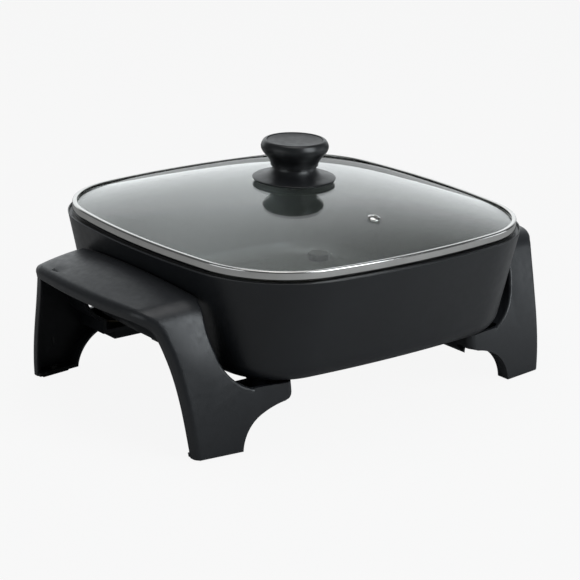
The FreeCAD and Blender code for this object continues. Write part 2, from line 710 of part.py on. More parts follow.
def lid_rim():
    """Steel band folded round the glass edge, with a foot on the pan's seat."""
    glass_in = LID_HALF - GLASS_HALF - 0.1
    glass_low = GLASS_EDGE_Z - GLASS_THICK - RIM_SLACK
    glass_top = RIM_TOP_Z - RIM_SKIN
    section = (
        (RIM_LIP, RIM_TOP_Z - 0.2),
        (1.2, RIM_TOP_Z),
        (0.0, RIM_TOP_Z - 1.8),
        (0.0, RIM_BOTTOM_Z + 0.8),
        (1.6, RIM_BOTTOM_Z),
        (1.6, SEAT_Z),
        (3.2, SEAT_Z),
        (RIM_LIP, glass_low),
        (glass_in, glass_low),
        (glass_in, glass_top),
        (RIM_LIP, glass_top),
    )
    places = [V(0, inward - LID_HALF, z) for inward, z in section]
    start = Part.makePolygon(places + places[:1])
    return rounded_square(LID_HALF, LID_CORNER, LID_BULGE, 0.0).makePipeShell([start], True, True)


def turned(outline, point=V(0, 0, 0), axis=V(0, 0, 1)):
    """Solid of revolution from (radius, z) corners, set on a point along an axis."""
    places = [V(radius, 0, z) for radius, z in outline]
    profile = Part.makePolygon(places + places[:1])
    solid = Part.Face(profile).revolve(V(0, 0, 0), V(0, 0, 1), 360)
    solid.Placement = FreeCAD.Placement(point, FreeCAD.Rotation(V(0, 0, 1), axis))
    return solid


def vent_eyelet():
    """Steel rivet with a through bore, set square to the glass."""
    point, out = vent_axis()
    edge = VENT_FLANGE_RADIUS
    low = -GLASS_THICK
    outline = (
        (VENT_BORE, VENT_FLANGE),
        (VENT_BORE + 0.8, VENT_FLANGE + VENT_DOME),
        (edge - 1.2, VENT_FLANGE),
        (edge, 0.0),
        (VENT_HOLE_RADIUS, 0.0),
        (VENT_HOLE_RADIUS, low),
        (VENT_COLLAR_RADIUS, low),
        (VENT_COLLAR_RADIUS - 0.4, low - VENT_COLLAR),
        (VENT_BORE, low - VENT_COLLAR),
    )
    return turned(outline, point, out)


def ring(outer, inner, z0, z1):
    """Flat ring round the knob's axis."""
    return rod(outer, 0, 0, z0, z1).cut(rod(inner, 0, 0, z0 - 1, z1 + 1))


def upper_gasket():
    """Silicone ring between the glass and the knob's flange."""
    return ring(GASKET_RADIUS, GLASS_HOLE_RADIUS, GLASS_CROWN_Z, GLASS_CROWN_Z + GASKET_THICK)


def lower_gasket():
    """Silicone ring under the glass."""
    top = GLASS_CROWN_Z - GLASS_THICK - GASKET_GAP
    return ring(GASKET_RADIUS - 1.5, KNOB_SCREW_RADIUS, top - GASKET_THICK, top)


def lid_washer():
    """Steel washer under the lower gasket."""
    top = GLASS_CROWN_Z - GLASS_THICK - GASKET_GAP - GASKET_THICK
    return ring(GASKET_RADIUS - 3.0, KNOB_SCREW_RADIUS, top - WASHER_HEIGHT, top)


def knob_screw():
    """Screw from under the glass up into the knob's insert."""
    head_top = GLASS_CROWN_Z - GLASS_THICK - GASKET_GAP - GASKET_THICK - WASHER_HEIGHT
    head_z = head_top - SCREW_HEAD_HEIGHT
    sizes = (KNOB_SCREW_RADIUS, SCREW_HEAD_RADIUS, SCREW_HEAD_HEIGHT)
    return screw(0, 0, head_z, KNOB_SCREW_END_Z, *sizes)


def knob_flange():
    """Wide skirt of the knob: flared like a trumpet, hollow underneath."""
    hub_z = GLASS_CROWN_Z + GASKET_THICK
    return turned((
        (FLANGE_NECK, FLANGE_TOP_Z),
        *FLANGE_FLARE,
        *FLANGE_LIP,
        (FLANGE_HUB_RADIUS, FLANGE_ROOF_Z),
        (FLANGE_HUB_RADIUS, hub_z),
        (KNOB_SCREW_RADIUS, hub_z),
        (KNOB_SCREW_RADIUS, FLANGE_TOP_Z),
    ))


def knob_head():
    """Grip of the knob: waisted neck, full shoulder and a recess for the cap."""
    base = FLANGE_TOP_Z
    head = turned((
        (HEAD_NECK, base),
        *HEAD_CURVE,
        (CAP_RADIUS, HEAD_TOP_Z - 0.5),
        (CAP_RADIUS, CAP_SEAT_Z),
        (0.0, CAP_SEAT_Z),
        (0.0, base),
    ))
    insert = rod(INSERT_RADIUS, 0, 0, INSERT_FROM_Z, INSERT_TO_Z)
    return head.cut([insert, rod(KNOB_SCREW_RADIUS, 0, 0, base - 1.0, INSERT_FROM_Z + 1.0)])


def knob_cap():
    """Dished disc set into the top of the head."""
    return turned((
        (0.0, CAP_SEAT_Z),
        (CAP_RADIUS, CAP_SEAT_Z),
        (CAP_RADIUS, CAP_RIM_Z),
        *CAP_DISH,
    ))


def knob_insert():
    """Threaded metal insert moulded into the head."""
    bush = rod(INSERT_RADIUS, 0, 0, INSERT_FROM_Z, INSERT_TO_Z)
    return bush.cut(rod(KNOB_SCREW_RADIUS, 0, 0, INSERT_FROM_Z - 1, KNOB_SCREW_END_Z))


def mirrored(shape, across_x, across_y):
    """Copy of a front right piece at another corner."""
    if across_x:
        shape = shape.mirror(V(0, 0, 0), V(1, 0, 0))
    if across_y:
        shape = shape.mirror(V(0, 0, 0), V(0, 1, 0))
    return shape


def parts():
    """Every node's name and shape."""
    right_frame = frame()
    foot = rubber_foot()
    made = {
        "pan": pan(),
        "heating_element": heating_element(),
        "terminal_pins": terminal_pins(),
        "terminal_collars": terminal_collars(),
        "sensor_well": sensor_well(),
        "socket_guard": socket_guard(),
        "guard_screws": guard_screws(),
        "right_frame": right_frame,
        "left_frame": mirrored(right_frame, True, False),
        "frame_screws": frame_screws(),
        "frame_washers": frame_washers(),
        "heat_spacers": heat_spacers(),
        "lid_glass": lid_glass(),
        "lid_rim": lid_rim(),
        "vent_eyelet": vent_eyelet(),
        "upper_gasket": upper_gasket(),
        "lower_gasket": lower_gasket(),
        "lid_washer": lid_washer(),
        "knob_screw": knob_screw(),
        "knob_flange": knob_flange(),
        "knob_head": knob_head(),
        "knob_insert": knob_insert(),
        "knob_cap": knob_cap(),
    }
    for depth, across_y in (("front", False), ("rear", True)):
        for side, across_x in (("right", False), ("left", True)):
            made[depth + "_" + side + "_foot"] = mirrored(foot, across_x, across_y)
    return made


os.makedirs("parts", exist_ok=True)
for name, shape in parts().items():
    shape.exportStep("parts/" + name + ".step")
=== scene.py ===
import json
import math

import bmesh
import bpy
from mathutils import Matrix, Vector, kdtree

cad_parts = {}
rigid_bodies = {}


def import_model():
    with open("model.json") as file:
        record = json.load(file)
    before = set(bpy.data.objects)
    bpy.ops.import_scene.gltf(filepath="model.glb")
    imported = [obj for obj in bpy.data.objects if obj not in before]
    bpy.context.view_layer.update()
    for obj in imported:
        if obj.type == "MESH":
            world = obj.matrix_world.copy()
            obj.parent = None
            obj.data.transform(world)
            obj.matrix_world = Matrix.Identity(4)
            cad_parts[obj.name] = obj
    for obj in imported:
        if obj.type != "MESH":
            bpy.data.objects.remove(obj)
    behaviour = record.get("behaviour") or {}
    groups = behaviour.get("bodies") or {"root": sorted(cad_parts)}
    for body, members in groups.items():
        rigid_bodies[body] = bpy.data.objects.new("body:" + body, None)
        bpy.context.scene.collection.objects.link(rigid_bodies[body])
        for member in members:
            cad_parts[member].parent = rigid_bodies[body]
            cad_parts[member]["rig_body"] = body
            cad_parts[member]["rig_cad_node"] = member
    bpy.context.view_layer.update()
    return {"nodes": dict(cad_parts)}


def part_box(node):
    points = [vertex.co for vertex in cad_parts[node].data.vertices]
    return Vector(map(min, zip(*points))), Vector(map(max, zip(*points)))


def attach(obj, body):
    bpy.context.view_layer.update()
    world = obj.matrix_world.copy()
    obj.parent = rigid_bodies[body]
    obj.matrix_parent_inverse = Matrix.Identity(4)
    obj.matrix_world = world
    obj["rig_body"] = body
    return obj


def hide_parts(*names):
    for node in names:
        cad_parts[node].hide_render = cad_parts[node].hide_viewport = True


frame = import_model()

bl_info = {
    "name": "Electric Skillet",
    "version": (1, 0, 0),
    "blender": (4, 5, 0),
    "location": "View3D > Sidebar > Skillet",
    "description": "Square electric skillet with arch handles and a domed glass lid",
    "category": "Add Mesh",
}

# Metres, Z up. X runs from handle to handle and the front is towards -Y.
MM = 0.001
PAN_LOW, PAN_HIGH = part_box("pan")
SHELF_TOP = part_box("heat_spacers")[0].z
RIM_LOW, RIM_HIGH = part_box("lid_rim")
GLASS_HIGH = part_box("lid_glass")[1]
FLANGE_LOW, FLANGE_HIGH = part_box("knob_flange")
HEAD_LOW, HEAD_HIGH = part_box("knob_head")
CAP_LOW, CAP_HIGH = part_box("knob_cap")
SPECK_GATE = 0.62
FLOOR_SIZE = 8.0

# How sharp an edge is rounded, and how finely the skin beside it is cut, in parts of its radius.
SHARP = math.radians(28.0)
SMOOTH_DEGREES = 35.0
FLAT = math.radians(0.6)
REFINE_PASSES = 5
ROLL_SAMPLES = 8.0
ROLL_FINENESS = 3.5
ROLL_REACH = 1.4
ROLL_LIMIT = 2.0
ALONGSIDE = 0.9

# Where the frames' long edges are told apart.
ARCH_MIDDLE_Z = 40.0 * MM
ARM_END_X = 100.0 * MM
BAND_FROM_X = 165.0 * MM
LEG_FROM_Z = 45.0 * MM
CROWN_INNER_X = 150.0 * MM
CROWN_FOOT_X = 177.0 * MM
CROWN_SPREAD = 28.0 * MM
GRIP_Z = 109.0 * MM
CROWN_STEP = 5.0 * MM


def size(name, value, description):
    """A length in metres that a user may change."""
    return bpy.props.FloatProperty(
        name=name, description=description, default=value, min=0.0, precision=5, unit="LENGTH",
    )


def share(name, value, description):
    """A factor from 0 to 1."""
    return bpy.props.FloatProperty(
        name=name, description=description, default=value, min=0.0, max=1.0, subtype="FACTOR",
    )


def count(name, value, description):
    """A number of steps round or along a piece."""
    return bpy.props.IntProperty(name=name, description=description, default=value, min=3, max=512)


def tint(name, value, description):
    """A colour, as linear red, green and blue."""
    return bpy.props.FloatVectorProperty(
        name=name, description=description, default=value, min=0.0, max=1.0, size=3, subtype="COLOR",
    )


class SkilletPan(bpy.types.PropertyGroup):
    steps: count("Steps", 224, "Corners round the pan's outline")
    heel_steps: count("Heel steps", 9, "Bands in the rounded heel")
    floor_z: size("Floor height", 49.2 * MM, "Underside of the pan's floor above the table")
    top_z: size("Lip height", PAN_HIGH.z, "Top of the pan's lip above the table")
    bottom_half: size("Bottom half width", 135.4 * MM, "Half the width where wall and floor would meet")
    bottom_corner: size("Bottom corner", 53.0 * MM, "Radius of the corners at the floor")
    bottom_bulge: size("Bottom side arc", 1000.0 * MM, "Radius of the shallow side arcs at the floor")
    top_half: size("Lip half width", PAN_HIGH.y, "Half the width at the lip")
    top_corner: size("Lip corner", 85.0 * MM, "Radius of the corners at the lip")
    top_bulge: size("Lip side arc", 617.0 * MM, "Radius of the shallow side arcs at the lip")
    heel: size("Heel radius", 20.0 * MM, "Outer radius between floor and wall")
    inner_heel: size("Inner heel radius", 16.0 * MM, "Radius between floor and wall inside")
    floor: size("Floor thickness", 5.0 * MM, "Thickness of the floor")
    wall: size("Wall thickness", 4.3 * MM, "Thickness of the wall")
    bead_z: size("Bead height", 120.0 * MM, "Height at which the wall thickens to the lip")
    seat_z: size("Seat height", 132.8 * MM, "Height of the ledge that the lid rests on")
    seat_half: size("Seat half width", 157.0 * MM, "Half the width of the ledge's outer edge")
    mouth_half: size("Mouth half width", 151.4 * MM, "Half the width of the ledge's inner edge")
    boss_x: size("Boss X", 109.0 * MM, "Distance of the corner bosses from the middle, handle to handle")
    boss_y: size("Boss Y", 98.0 * MM, "Distance of the corner bosses from the middle, front to back")
    boss_radius: size("Boss radius", 9.0 * MM, "Radius of a corner boss")
    boss_top: size("Boss top", 60.0 * MM, "Height at which a corner boss ends inside the heel")
    small_x: size("Small boss X", 105.0 * MM, "Distance of the guard's bosses from the middle")
    small_y: size("Small boss Y", 33.0 * MM, "Distance of each of the guard's bosses from the centre line")
    small_radius: size("Small boss radius", 6.0 * MM, "Radius of a boss for the guard's screw")
    small_low: size("Small boss height", 44.0 * MM, "Underside of the guard's bosses above the table")
    rib_half: size("Rib half width", 7.0 * MM, "Half the width of the rib round the heating element")
    rib_loop: size("Rib loop", 80.0 * MM, "Half the width of the element's loop")
    rib_corner: size("Rib corner", 40.0 * MM, "Radius of the loop's corners")
    tail_half: size("Tail distance", 17.0 * MM, "Distance of each tail from the middle")
    tail_bend: size("Tail bend", 12.0 * MM, "Radius where the tails leave the loop")


class SkilletLid(bpy.types.PropertyGroup):
    steps: count("Steps", 224, "Corners round the lid's outline")
    rim_half: size("Rim half width", RIM_HIGH.y, "Half the width over the steel rim")
    rim_corner: size("Rim corner", 78.0 * MM, "Radius of the rim's corners")
    rim_bulge: size("Rim side arc", 600.0 * MM, "Radius of the rim's shallow side arcs")
    rim_top: size("Rim top", RIM_HIGH.z, "Top of the rolled edge above the table")
    rim_foot: size("Rim foot", RIM_LOW.z, "Bottom of the rim, where it rests on the pan")
    glass_half: size("Glass half width", GLASS_HIGH.y, "Half the width of the glass")
    glass_edge: size("Glass edge height", 140.6 * MM, "Upper face of the glass at its edge")
    glass_crown: size("Glass crown height", GLASS_HIGH.z, "Upper face of the glass in the middle")
    glass_thick: size("Glass thickness", 3.6 * MM, "Thickness of the glass")
    glass_power: bpy.props.FloatProperty(
        name="Dome power", description="How flat the crown is and how steep the edge", default=2.2, min=1.0,
    )
    glass_squareness: bpy.props.FloatProperty(
        name="Dome squareness", description="How square the dome's level lines are at the rim",
        default=3.4, min=2.0,
    )
    vent_x: size("Vent X", 2.0 * MM, "Place of the steam vent, handle to handle")
    vent_front: size("Vent to the front", 97.3 * MM, "How far in front of the middle the steam vent is")
    vent_radius: size("Vent radius", 5.2 * MM, "Radius of the vent's flange")
    vent_bore: size("Vent bore", 2.2 * MM, "Radius of the steam hole")


class SkilletKnob(bpy.types.PropertyGroup):
    steps: count("Steps", 96, "Corners round the knob")
    flange_radius: size("Flange radius", FLANGE_HIGH.y, "Radius of the wide skirt")
    head_radius: size("Head radius", HEAD_HIGH.y, "Radius of the head at its fullest")
    neck_radius: size("Neck radius", 19.2 * MM, "Radius of the head at its foot")
    cap_radius: size("Cap radius", CAP_HIGH.y, "Radius of the dished cap")


class SkilletFrames(bpy.types.PropertyGroup):
    roll: size("Outer roll", 5.5 * MM, "Radius of the arch's outer edge")
    inner_edge: size("Inner edge", 2.2 * MM, "Radius of the edge beside the pan")
    lip_edge: size("Lip edge", 1.0 * MM, "Radius of the lip's free edge")
    arm_corner: size("Arm corner", 5.0 * MM, "Radius of each arm's lower corner")
    crown: size("Crown", 1.3 * MM, "Height of the legs' crown across their width")
    crown_from: size("Crown from", 38.0 * MM, "Height above the table where the legs' crown begins")
    crown_full: size("Crown full", 82.0 * MM, "Height above the table where the legs' crown is full")


class SkilletColours(bpy.types.PropertyGroup):
    coating: tint("Coating", (0.0085, 0.0095, 0.0115), "Satin non-stick coating outside the pan")
    coating_inside: tint("Coating inside", (0.020, 0.021, 0.018), "Non-stick coating inside the pan")
    speck: tint("Specks", (0.62, 0.66, 0.64), "Pale specks in the coating")
    frame_plastic: tint("Frame plastic", (0.0105, 0.0115, 0.0135), "Moulding of the two frames")
    knob_plastic: tint("Knob plastic", (0.009, 0.0095, 0.0105), "Moulding of the knob")
    cap_plastic: tint("Cap plastic", (0.030, 0.0305, 0.0315), "Dished cap on the knob")
    guard_plastic: tint("Guard plastic", (0.013, 0.0135, 0.0145), "Moulding round the inlet")
    rubber: tint("Foot rubber", (0.008, 0.008, 0.008), "Rubber pads under the legs")
    glass: tint("Glass", (0.90, 0.945, 0.94), "Tempered glass")
    steel: tint("Polished steel", (0.66, 0.65, 0.63), "Rim and vent")
    zinc: tint("Zinc plate", (0.50, 0.50, 0.49), "Screws and washers")
    aluminium: tint("Bare aluminium", (0.50, 0.51, 0.52), "Sensor well")
    sheath: tint("Element sheath", (0.19, 0.17, 0.15), "Heat-tinted sheath of the element")
    ceramic: tint("Ceramic", (0.72, 0.69, 0.62), "Collars round the pins")
    board: tint("Spacer board", (0.42, 0.36, 0.26), "Heat-resisting rings")
    silicone: tint("Silicone", (0.022, 0.022, 0.023), "Gaskets at the knob")
    brass: tint("Brass", (0.52, 0.36, 0.13), "Threaded insert in the knob")


class SkilletStage(bpy.types.PropertyGroup):
    backdrop: share("Backdrop white", 0.99, "How white the background is to the camera")
    floor_shade: share("Floor shade", 0.08, "How much of the floor's own shading the camera sees")
    floor_colour: tint("Floor colour", (0.36, 0.36, 0.36), "Paper floor, as the pieces see it")
    bright_side: bpy.props.FloatVectorProperty(
        name="Bright side", description="Direction of the brightest studio wall",
        default=(0.50, 0.866, 0.0), size=3, subtype="DIRECTION",
    )
    bright_level: bpy.props.FloatProperty(
        name="Bright level", description="Brightness of the studio's bright wall", default=1.2, min=0.0,
    )
    bright_edge: bpy.props.FloatVectorProperty(
        name="Bright edge", description="Cosines at which the wall starts to brighten and is fully bright",
        default=(0.68, 0.90), size=2,
    )
    dim_level: share("Dim level", 0.12, "Brightness of the studio everywhere else")
    studio_tint: tint("Studio tint", (0.94, 0.98, 1.0), "Colour of the studio's walls")
    lens: bpy.props.FloatProperty(
        name="Lens", description="Focal length in millimetres", default=130.0, min=1.0,
    )
    camera_place: bpy.props.FloatVectorProperty(
        name="Camera place", description="Where the camera stands",
        default=(-1.0271, -1.2678, 0.5971), size=3, subtype="TRANSLATION",
    )
    camera_turn: bpy.props.FloatProperty(
        name="Camera heading", description="Heading of the view about Z",
        default=math.radians(-38.99), subtype="ANGLE",
    )
    camera_drop: bpy.props.FloatProperty(
        name="Camera drop", description="How far the view looks down",
        default=math.radians(17.85), subtype="ANGLE",
    )
    camera_roll: bpy.props.FloatProperty(
        name="Camera roll", description="Roll of the view", default=math.radians(1.6), subtype="ANGLE",
    )


# Outlines and profiles

def squared(half, corner, bulge):
    """Radius by angle of a square with shallow side arcs and rounded corners."""
    lift = bulge - half
    centre = (math.sqrt(2.0 * (bulge - corner) ** 2 - lift ** 2) - lift) / 2.0
    turn = math.atan2(centre, centre + lift)
    joint = math.atan2(bulge * math.sin(turn), bulge * math.cos(turn) - lift)

    def radius(angle):
        x, y = sorted((abs(math.cos(angle)), abs(math.sin(angle))), reverse=True)
        on_side = math.atan2(y, x) <= joint
        cx, cy, arc = (-lift, 0.0, bulge) if on_side else (centre, centre, corner)
        along = x * cx + y * cy
        return along + math.sqrt(along * along - cx * cx - cy * cy + arc * arc)

    return radius


def circle(radius):
    """Radius by angle of a circle."""
    return lambda angle: radius


def cross(radius, waist):
    """Radius by angle of a cross-shaped screwdriver recess."""
    return lambda angle: waist + (radius - waist) * abs(math.cos(2.0 * angle)) ** 3


def between(first, last, part):
    """Outline part of the way from one outline to another."""
    return lambda angle: first(angle) * (1.0 - part) + last(angle) * part


def drawn_in(outline, distance):
    """Outline moved inwards."""
    return lambda angle: outline(angle) - distance


def flowing(points, steps):
    """Smooth line through (radius, z) points, by cubic pieces between them."""
    line = []
    last = len(points) - 1
    for index in range(last):
        before = points[max(index - 1, 0)]
        start, end = points[index], points[index + 1]
        after = points[min(index + 2, last)]
        for step in range(steps):
            t = step / steps
            place = []
            for a, b, c, d in zip(before, start, end, after):
                curve = (2 * b + (c - a) * t + (2 * a - 5 * b + 4 * c - d) * t * t
                         + (3 * b - a - 3 * c + d) * t ** 3)
                place.append(curve / 2.0)
            line.append(tuple(place))
    return line + [points[-1]]


def quarter(centre, radius, start, end, steps):
    """Arc of (radius, z) points about a centre, between two angles in degrees."""
    line = []
    for step in range(steps + 1):
        angle = math.radians(start + (end - start) * step / steps)
        line.append((centre[0] + radius * math.cos(angle), centre[1] + radius * math.sin(angle)))
    return line


# Modelling

def deselect_all():
    """Leaves edit mode and selects nothing."""
    if bpy.context.mode != "OBJECT":
        bpy.ops.object.mode_set(mode="OBJECT")
    bpy.ops.object.select_all(action="DESELECT")


def make_active(piece):
    """Selects one piece alone."""
    deselect_all()
    piece.select_set(True)
    bpy.context.view_layer.objects.active = piece


def place_ring(piece, outline, height):
    """Moves the selected ring onto an outline at a height, or on a height by (x, y)."""
    mesh = bmesh.from_edit_mesh(piece.data)
    for vertex in mesh.verts:
        if vertex.select:
            angle = math.atan2(vertex.co.y, vertex.co.x)
            reach = outline(angle)
            x, y = reach * math.cos(angle), reach * math.sin(angle)
            z = height(x, y) if callable(height) else height
            vertex.co = (x, y, z)
    bmesh.update_edit_mesh(piece.data)


def ring_stack(name, rings, steps, ends=("flat", "flat")):
    """Piece extruded ring by ring from a circle about Z. Its ends are flat, or joined to each other."""
    deselect_all()
    bpy.ops.mesh.primitive_circle_add(vertices=steps, radius=rings[0][0](0.0))
    piece = bpy.context.object
    piece.name = name
    piece.data.name = name
    bpy.ops.object.mode_set(mode="EDIT")
    place_ring(piece, *rings[0])
    if ends[0] == "flat":
        bpy.ops.mesh.edge_face_add()
        bpy.ops.mesh.select_all(action="SELECT")
        bpy.ops.mesh.region_to_loop()
    bpy.ops.mesh.select_mode(type="EDGE")
    for outline, height in rings[1:]:
        bpy.ops.mesh.extrude_edges_move(TRANSFORM_OT_translate={"value": (0.0, 0.0, MM)})
        place_ring(piece, outline, height)
    if ends[1] == "flat":
        bpy.ops.mesh.edge_face_add()
    if ends == ("joined", "joined"):
        bpy.ops.mesh.select_all(action="DESELECT")
        bpy.ops.mesh.select_mode(type="VERT")
        bpy.ops.mesh.select_non_manifold()
        bpy.ops.mesh.bridge_edge_loops()
    close_up(piece)
    return piece


def close_up(piece):
    """Merges doubles and turns every face outwards."""
    make_active(piece)
    bpy.ops.object.mode_set(mode="EDIT")
    bpy.ops.mesh.select_mode(type="VERT")
    bpy.ops.mesh.select_all(action="SELECT")
    bpy.ops.mesh.remove_doubles(threshold=1e-6)
    bpy.ops.mesh.normals_make_consistent(inside=False)
    bpy.ops.object.mode_set(mode="OBJECT")


def turned(name, profile, steps, ends=("flat", "flat")):
    """Round piece from (radius, z) points."""
    return ring_stack(name, [(circle(radius), z) for radius, z in profile], steps, ends)


def smooth(piece, degrees=32.0):
    """Smooth shading, with sharp edges past an angle."""
    make_active(piece)
    bpy.ops.object.shade_smooth_by_angle(angle=math.radians(degrees))


def apply_modifier(piece, kind, **settings):
    """Adds a modifier with its settings and applies it."""
    make_active(piece)
    modifier = piece.modifiers.new(kind.title(), kind)
    for key, value in settings.items():
        setattr(modifier, key, value)
    bpy.ops.object.modifier_apply(modifier=modifier.name)


def moved_copy(piece, name, offset):
    """Copy of a piece with its own mesh, moved."""
    copy = piece.copy()
    copy.data = piece.data.copy()
    copy.name = name
    copy.data.name = name
    bpy.context.scene.collection.objects.link(copy)
    copy.data.transform(Matrix.Translation(offset))
    return copy


def joined(pieces, name):
    """Several pieces made one object."""
    deselect_all()
    for piece in pieces:
        piece.select_set(True)
    bpy.context.view_layer.objects.active = pieces[0]
    bpy.ops.object.join()
    pieces[0].name = name
    pieces[0].data.name = name
    return pieces[0]


def merged_copy(node, name):
    """Copy of a CAD node with its doubles merged and its flat faces joined."""
    copy = moved_copy(frame["nodes"][node], name, (0.0, 0.0, 0.0))
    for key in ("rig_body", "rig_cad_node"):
        if key in copy:
            del copy[key]
    copy.parent = None
    copy.data.materials.clear()
    make_active(copy)
    bpy.ops.object.mode_set(mode="EDIT")
    bpy.ops.mesh.select_all(action="SELECT")
    bpy.ops.mesh.remove_doubles(threshold=2e-6)
    bpy.ops.mesh.customdata_custom_splitnormals_clear()
    bpy.ops.mesh.dissolve_limited(angle_limit=FLAT)
    bpy.ops.object.mode_set(mode="OBJECT")
    return copy


def refined(piece, wanted, length):
    """Halves the wanted edges that are longer than a length, a few times over."""
    make_active(piece)
    bpy.ops.object.mode_set(mode="EDIT")
    bpy.ops.mesh.select_mode(type="EDGE")
    for _ in range(REFINE_PASSES):
        bpy.ops.mesh.select_all(action="SELECT")
        bpy.ops.mesh.quads_convert_to_tris(quad_method="BEAUTY", ngon_method="BEAUTY")
        bpy.ops.mesh.select_all(action="DESELECT")
        mesh = bmesh.from_edit_mesh(piece.data)
        longer = [edge for edge in mesh.edges if edge.calc_length() > length and wanted(edge)]
        if not longer:
            break
        for edge in longer:
            edge.select_set(True)
        bmesh.update_edit_mesh(piece.data)
        bpy.ops.mesh.subdivide(number_cuts=1)
    bpy.ops.object.mode_set(mode="OBJECT")


def edge_samples(piece, chosen, step):
    """Points along the sharp convex edges that a test chooses, each with the normals of both its faces."""
    mesh = bmesh.new()
    mesh.from_mesh(piece.data)
    mesh.normal_update()
    spans = []
    sums = {}
    for edge in mesh.edges:
        if not edge.is_manifold or not edge.is_convex or edge.calc_face_angle() < SHARP:
            continue
        middle = (edge.verts[0].co + edge.verts[1].co) / 2.0
        first, second = (face.normal.copy() for face in edge.link_faces)
        if not chosen(middle, first, second):
            first, second = second, first
            if not chosen(middle, first, second):
                continue
        spans.append([vertex.index for vertex in edge.verts])
        for vertex in edge.verts:
            place, one, other = sums.get(vertex.index, (vertex.co.copy(), Vector(), Vector()))
            sums[vertex.index] = (place, one + first, other + second)
    mesh.free()
    samples = []
    for start, end in spans:
        parts = max(int((sums[end][0] - sums[start][0]).length / step), 1)
        for part in range(parts + 1):
            place, one, other = (a.lerp(b, part / parts) for a, b in zip(sums[start], sums[end]))
            samples.append((place, one.normalized(), other.normalized()))
    return samples


def rounded(piece, chosen, radius):
    """Rolls the chosen edges to a radius: the skin near them is refined and laid on the round."""
    samples = edge_samples(piece, chosen, radius / ROLL_SAMPLES)
    tree = kdtree.KDTree(len(samples))
    for index, sample in enumerate(samples):
        tree.insert(sample[0], index)
    tree.balance()

    def near(edge):
        return min(tree.find(vertex.co)[2] for vertex in edge.verts) < radius * ROLL_REACH

    refined(piece, near, radius / ROLL_FINENESS)
    for vertex in piece.data.vertices:
        _, index, distance = tree.find(vertex.co)
        if distance > radius * ROLL_LIMIT:
            continue
        place, one, other = samples[index]
        cosine = one.dot(other)
        if abs(cosine) > ALONGSIDE:
            continue
        centre = place - (one + other) * radius / (1.0 + cosine)
        arm = vertex.co - centre
        tangent = one.cross(other).normalized()
        along = tangent * arm.dot(tangent)
        arm -= along
        towards_one = arm.dot(one) - cosine * arm.dot(other)
        towards_other = arm.dot(other) - cosine * arm.dot(one)
        if towards_one > 0.0 and towards_other > 0.0 and arm.length > radius:
            vertex.co = centre + along + arm * radius / arm.length


def softened(node, name, width, steps):
    """Merged copy of a CAD node with its edges rounded."""
    copy = merged_copy(node, name)
    apply_modifier(
        copy, "BEVEL", width=width, segments=steps, limit_method="ANGLE",
        angle_limit=SHARP, miter_outer="MITER_ARC", harden_normals=False,
    )
    smooth(copy, SMOOTH_DEGREES)
    return copy


def finish(piece, body, material, slot, *nodes):
    """Gives a piece its material and body, and hides the nodes that it stands for. The slot is not used."""
    piece.data.materials.clear()
    piece.data.materials.append(material)
    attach(piece, body)
    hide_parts(*nodes)


# Materials

def new_material(name, colour, roughness, metallic=0.0):
    """Material with a Principled shader, whose constants are set on its own sockets."""
    material = bpy.data.materials.new(name)
    material.use_nodes = True
    shader = material.node_tree.nodes["Principled BSDF"]
    shader.inputs["Base Color"].default_value = (*colour, 1.0)
    shader.inputs["Roughness"].default_value = roughness
    shader.inputs["Metallic"].default_value = metallic
    return material, material.node_tree, shader


def object_noise(tree, scale, detail=3.0, stretch=(1.0, 1.0, 1.0)):
    """Noise on the piece's own coordinates, in metres."""
    coords = tree.nodes.new("ShaderNodeTexCoord")
    mapping = tree.nodes.new("ShaderNodeMapping")
    mapping.inputs["Scale"].default_value = stretch
    noise = tree.nodes.new("ShaderNodeTexNoise")
    noise.inputs["Scale"].default_value = scale
    noise.inputs["Detail"].default_value = detail
    tree.links.new(coords.outputs["Object"], mapping.inputs["Vector"])
    tree.links.new(mapping.outputs["Vector"], noise.inputs["Vector"])
    return noise.outputs["Fac"]


def ramp(tree, factor, low, high, start=0.3, end=0.7):
    """Colour between two colours by a factor."""
    node = tree.nodes.new("ShaderNodeValToRGB")
    node.color_ramp.elements[0].position = start
    node.color_ramp.elements[1].position = end
    node.color_ramp.elements[0].color = (*low, 1.0)
    node.color_ramp.elements[1].color = (*high, 1.0)
    tree.links.new(factor, node.inputs["Fac"])
    return node.outputs["Color"]


def levels(tree, factor, low, high, start=0.3, end=0.7):
    """Number between two numbers by a factor."""
    node = tree.nodes.new("ShaderNodeMapRange")
    node.inputs["From Min"].default_value = start
    node.inputs["From Max"].default_value = end
    node.inputs["To Min"].default_value = low
    node.inputs["To Max"].default_value = high
    tree.links.new(factor, node.inputs["Value"])
    return node.outputs["Result"]


def bump(tree, shader, height, depth, strength):
    """Bump on a shader from a height."""
    node = tree.nodes.new("ShaderNodeBump")
    node.inputs["Strength"].default_value = strength
    node.inputs["Distance"].default_value = depth
    tree.links.new(height, node.inputs["Height"])
    tree.links.new(node.outputs["Normal"], shader.inputs["Normal"])


def moulded(name, colour, roughness=0.40, grain=2400.0, depth=0.00006, spread=0.05):
    """Satin moulding: faint clouds in the colour, uneven gloss and a fine spark-eroded grain."""
    material, tree, shader = new_material(name, colour, roughness)
    clouds = object_noise(tree, 38.0)
    low = [channel * (1.0 - spread) for channel in colour]
    high = [channel * (1.0 + spread) for channel in colour]
    tree.links.new(ramp(tree, clouds, low, high), shader.inputs["Base Color"])
    gloss = object_noise(tree, 210.0)
    tree.links.new(levels(tree, gloss, roughness - 0.04, roughness + 0.05), shader.inputs["Roughness"])
    bump(tree, shader, object_noise(tree, grain, 2.0), depth, 0.35)
    return material


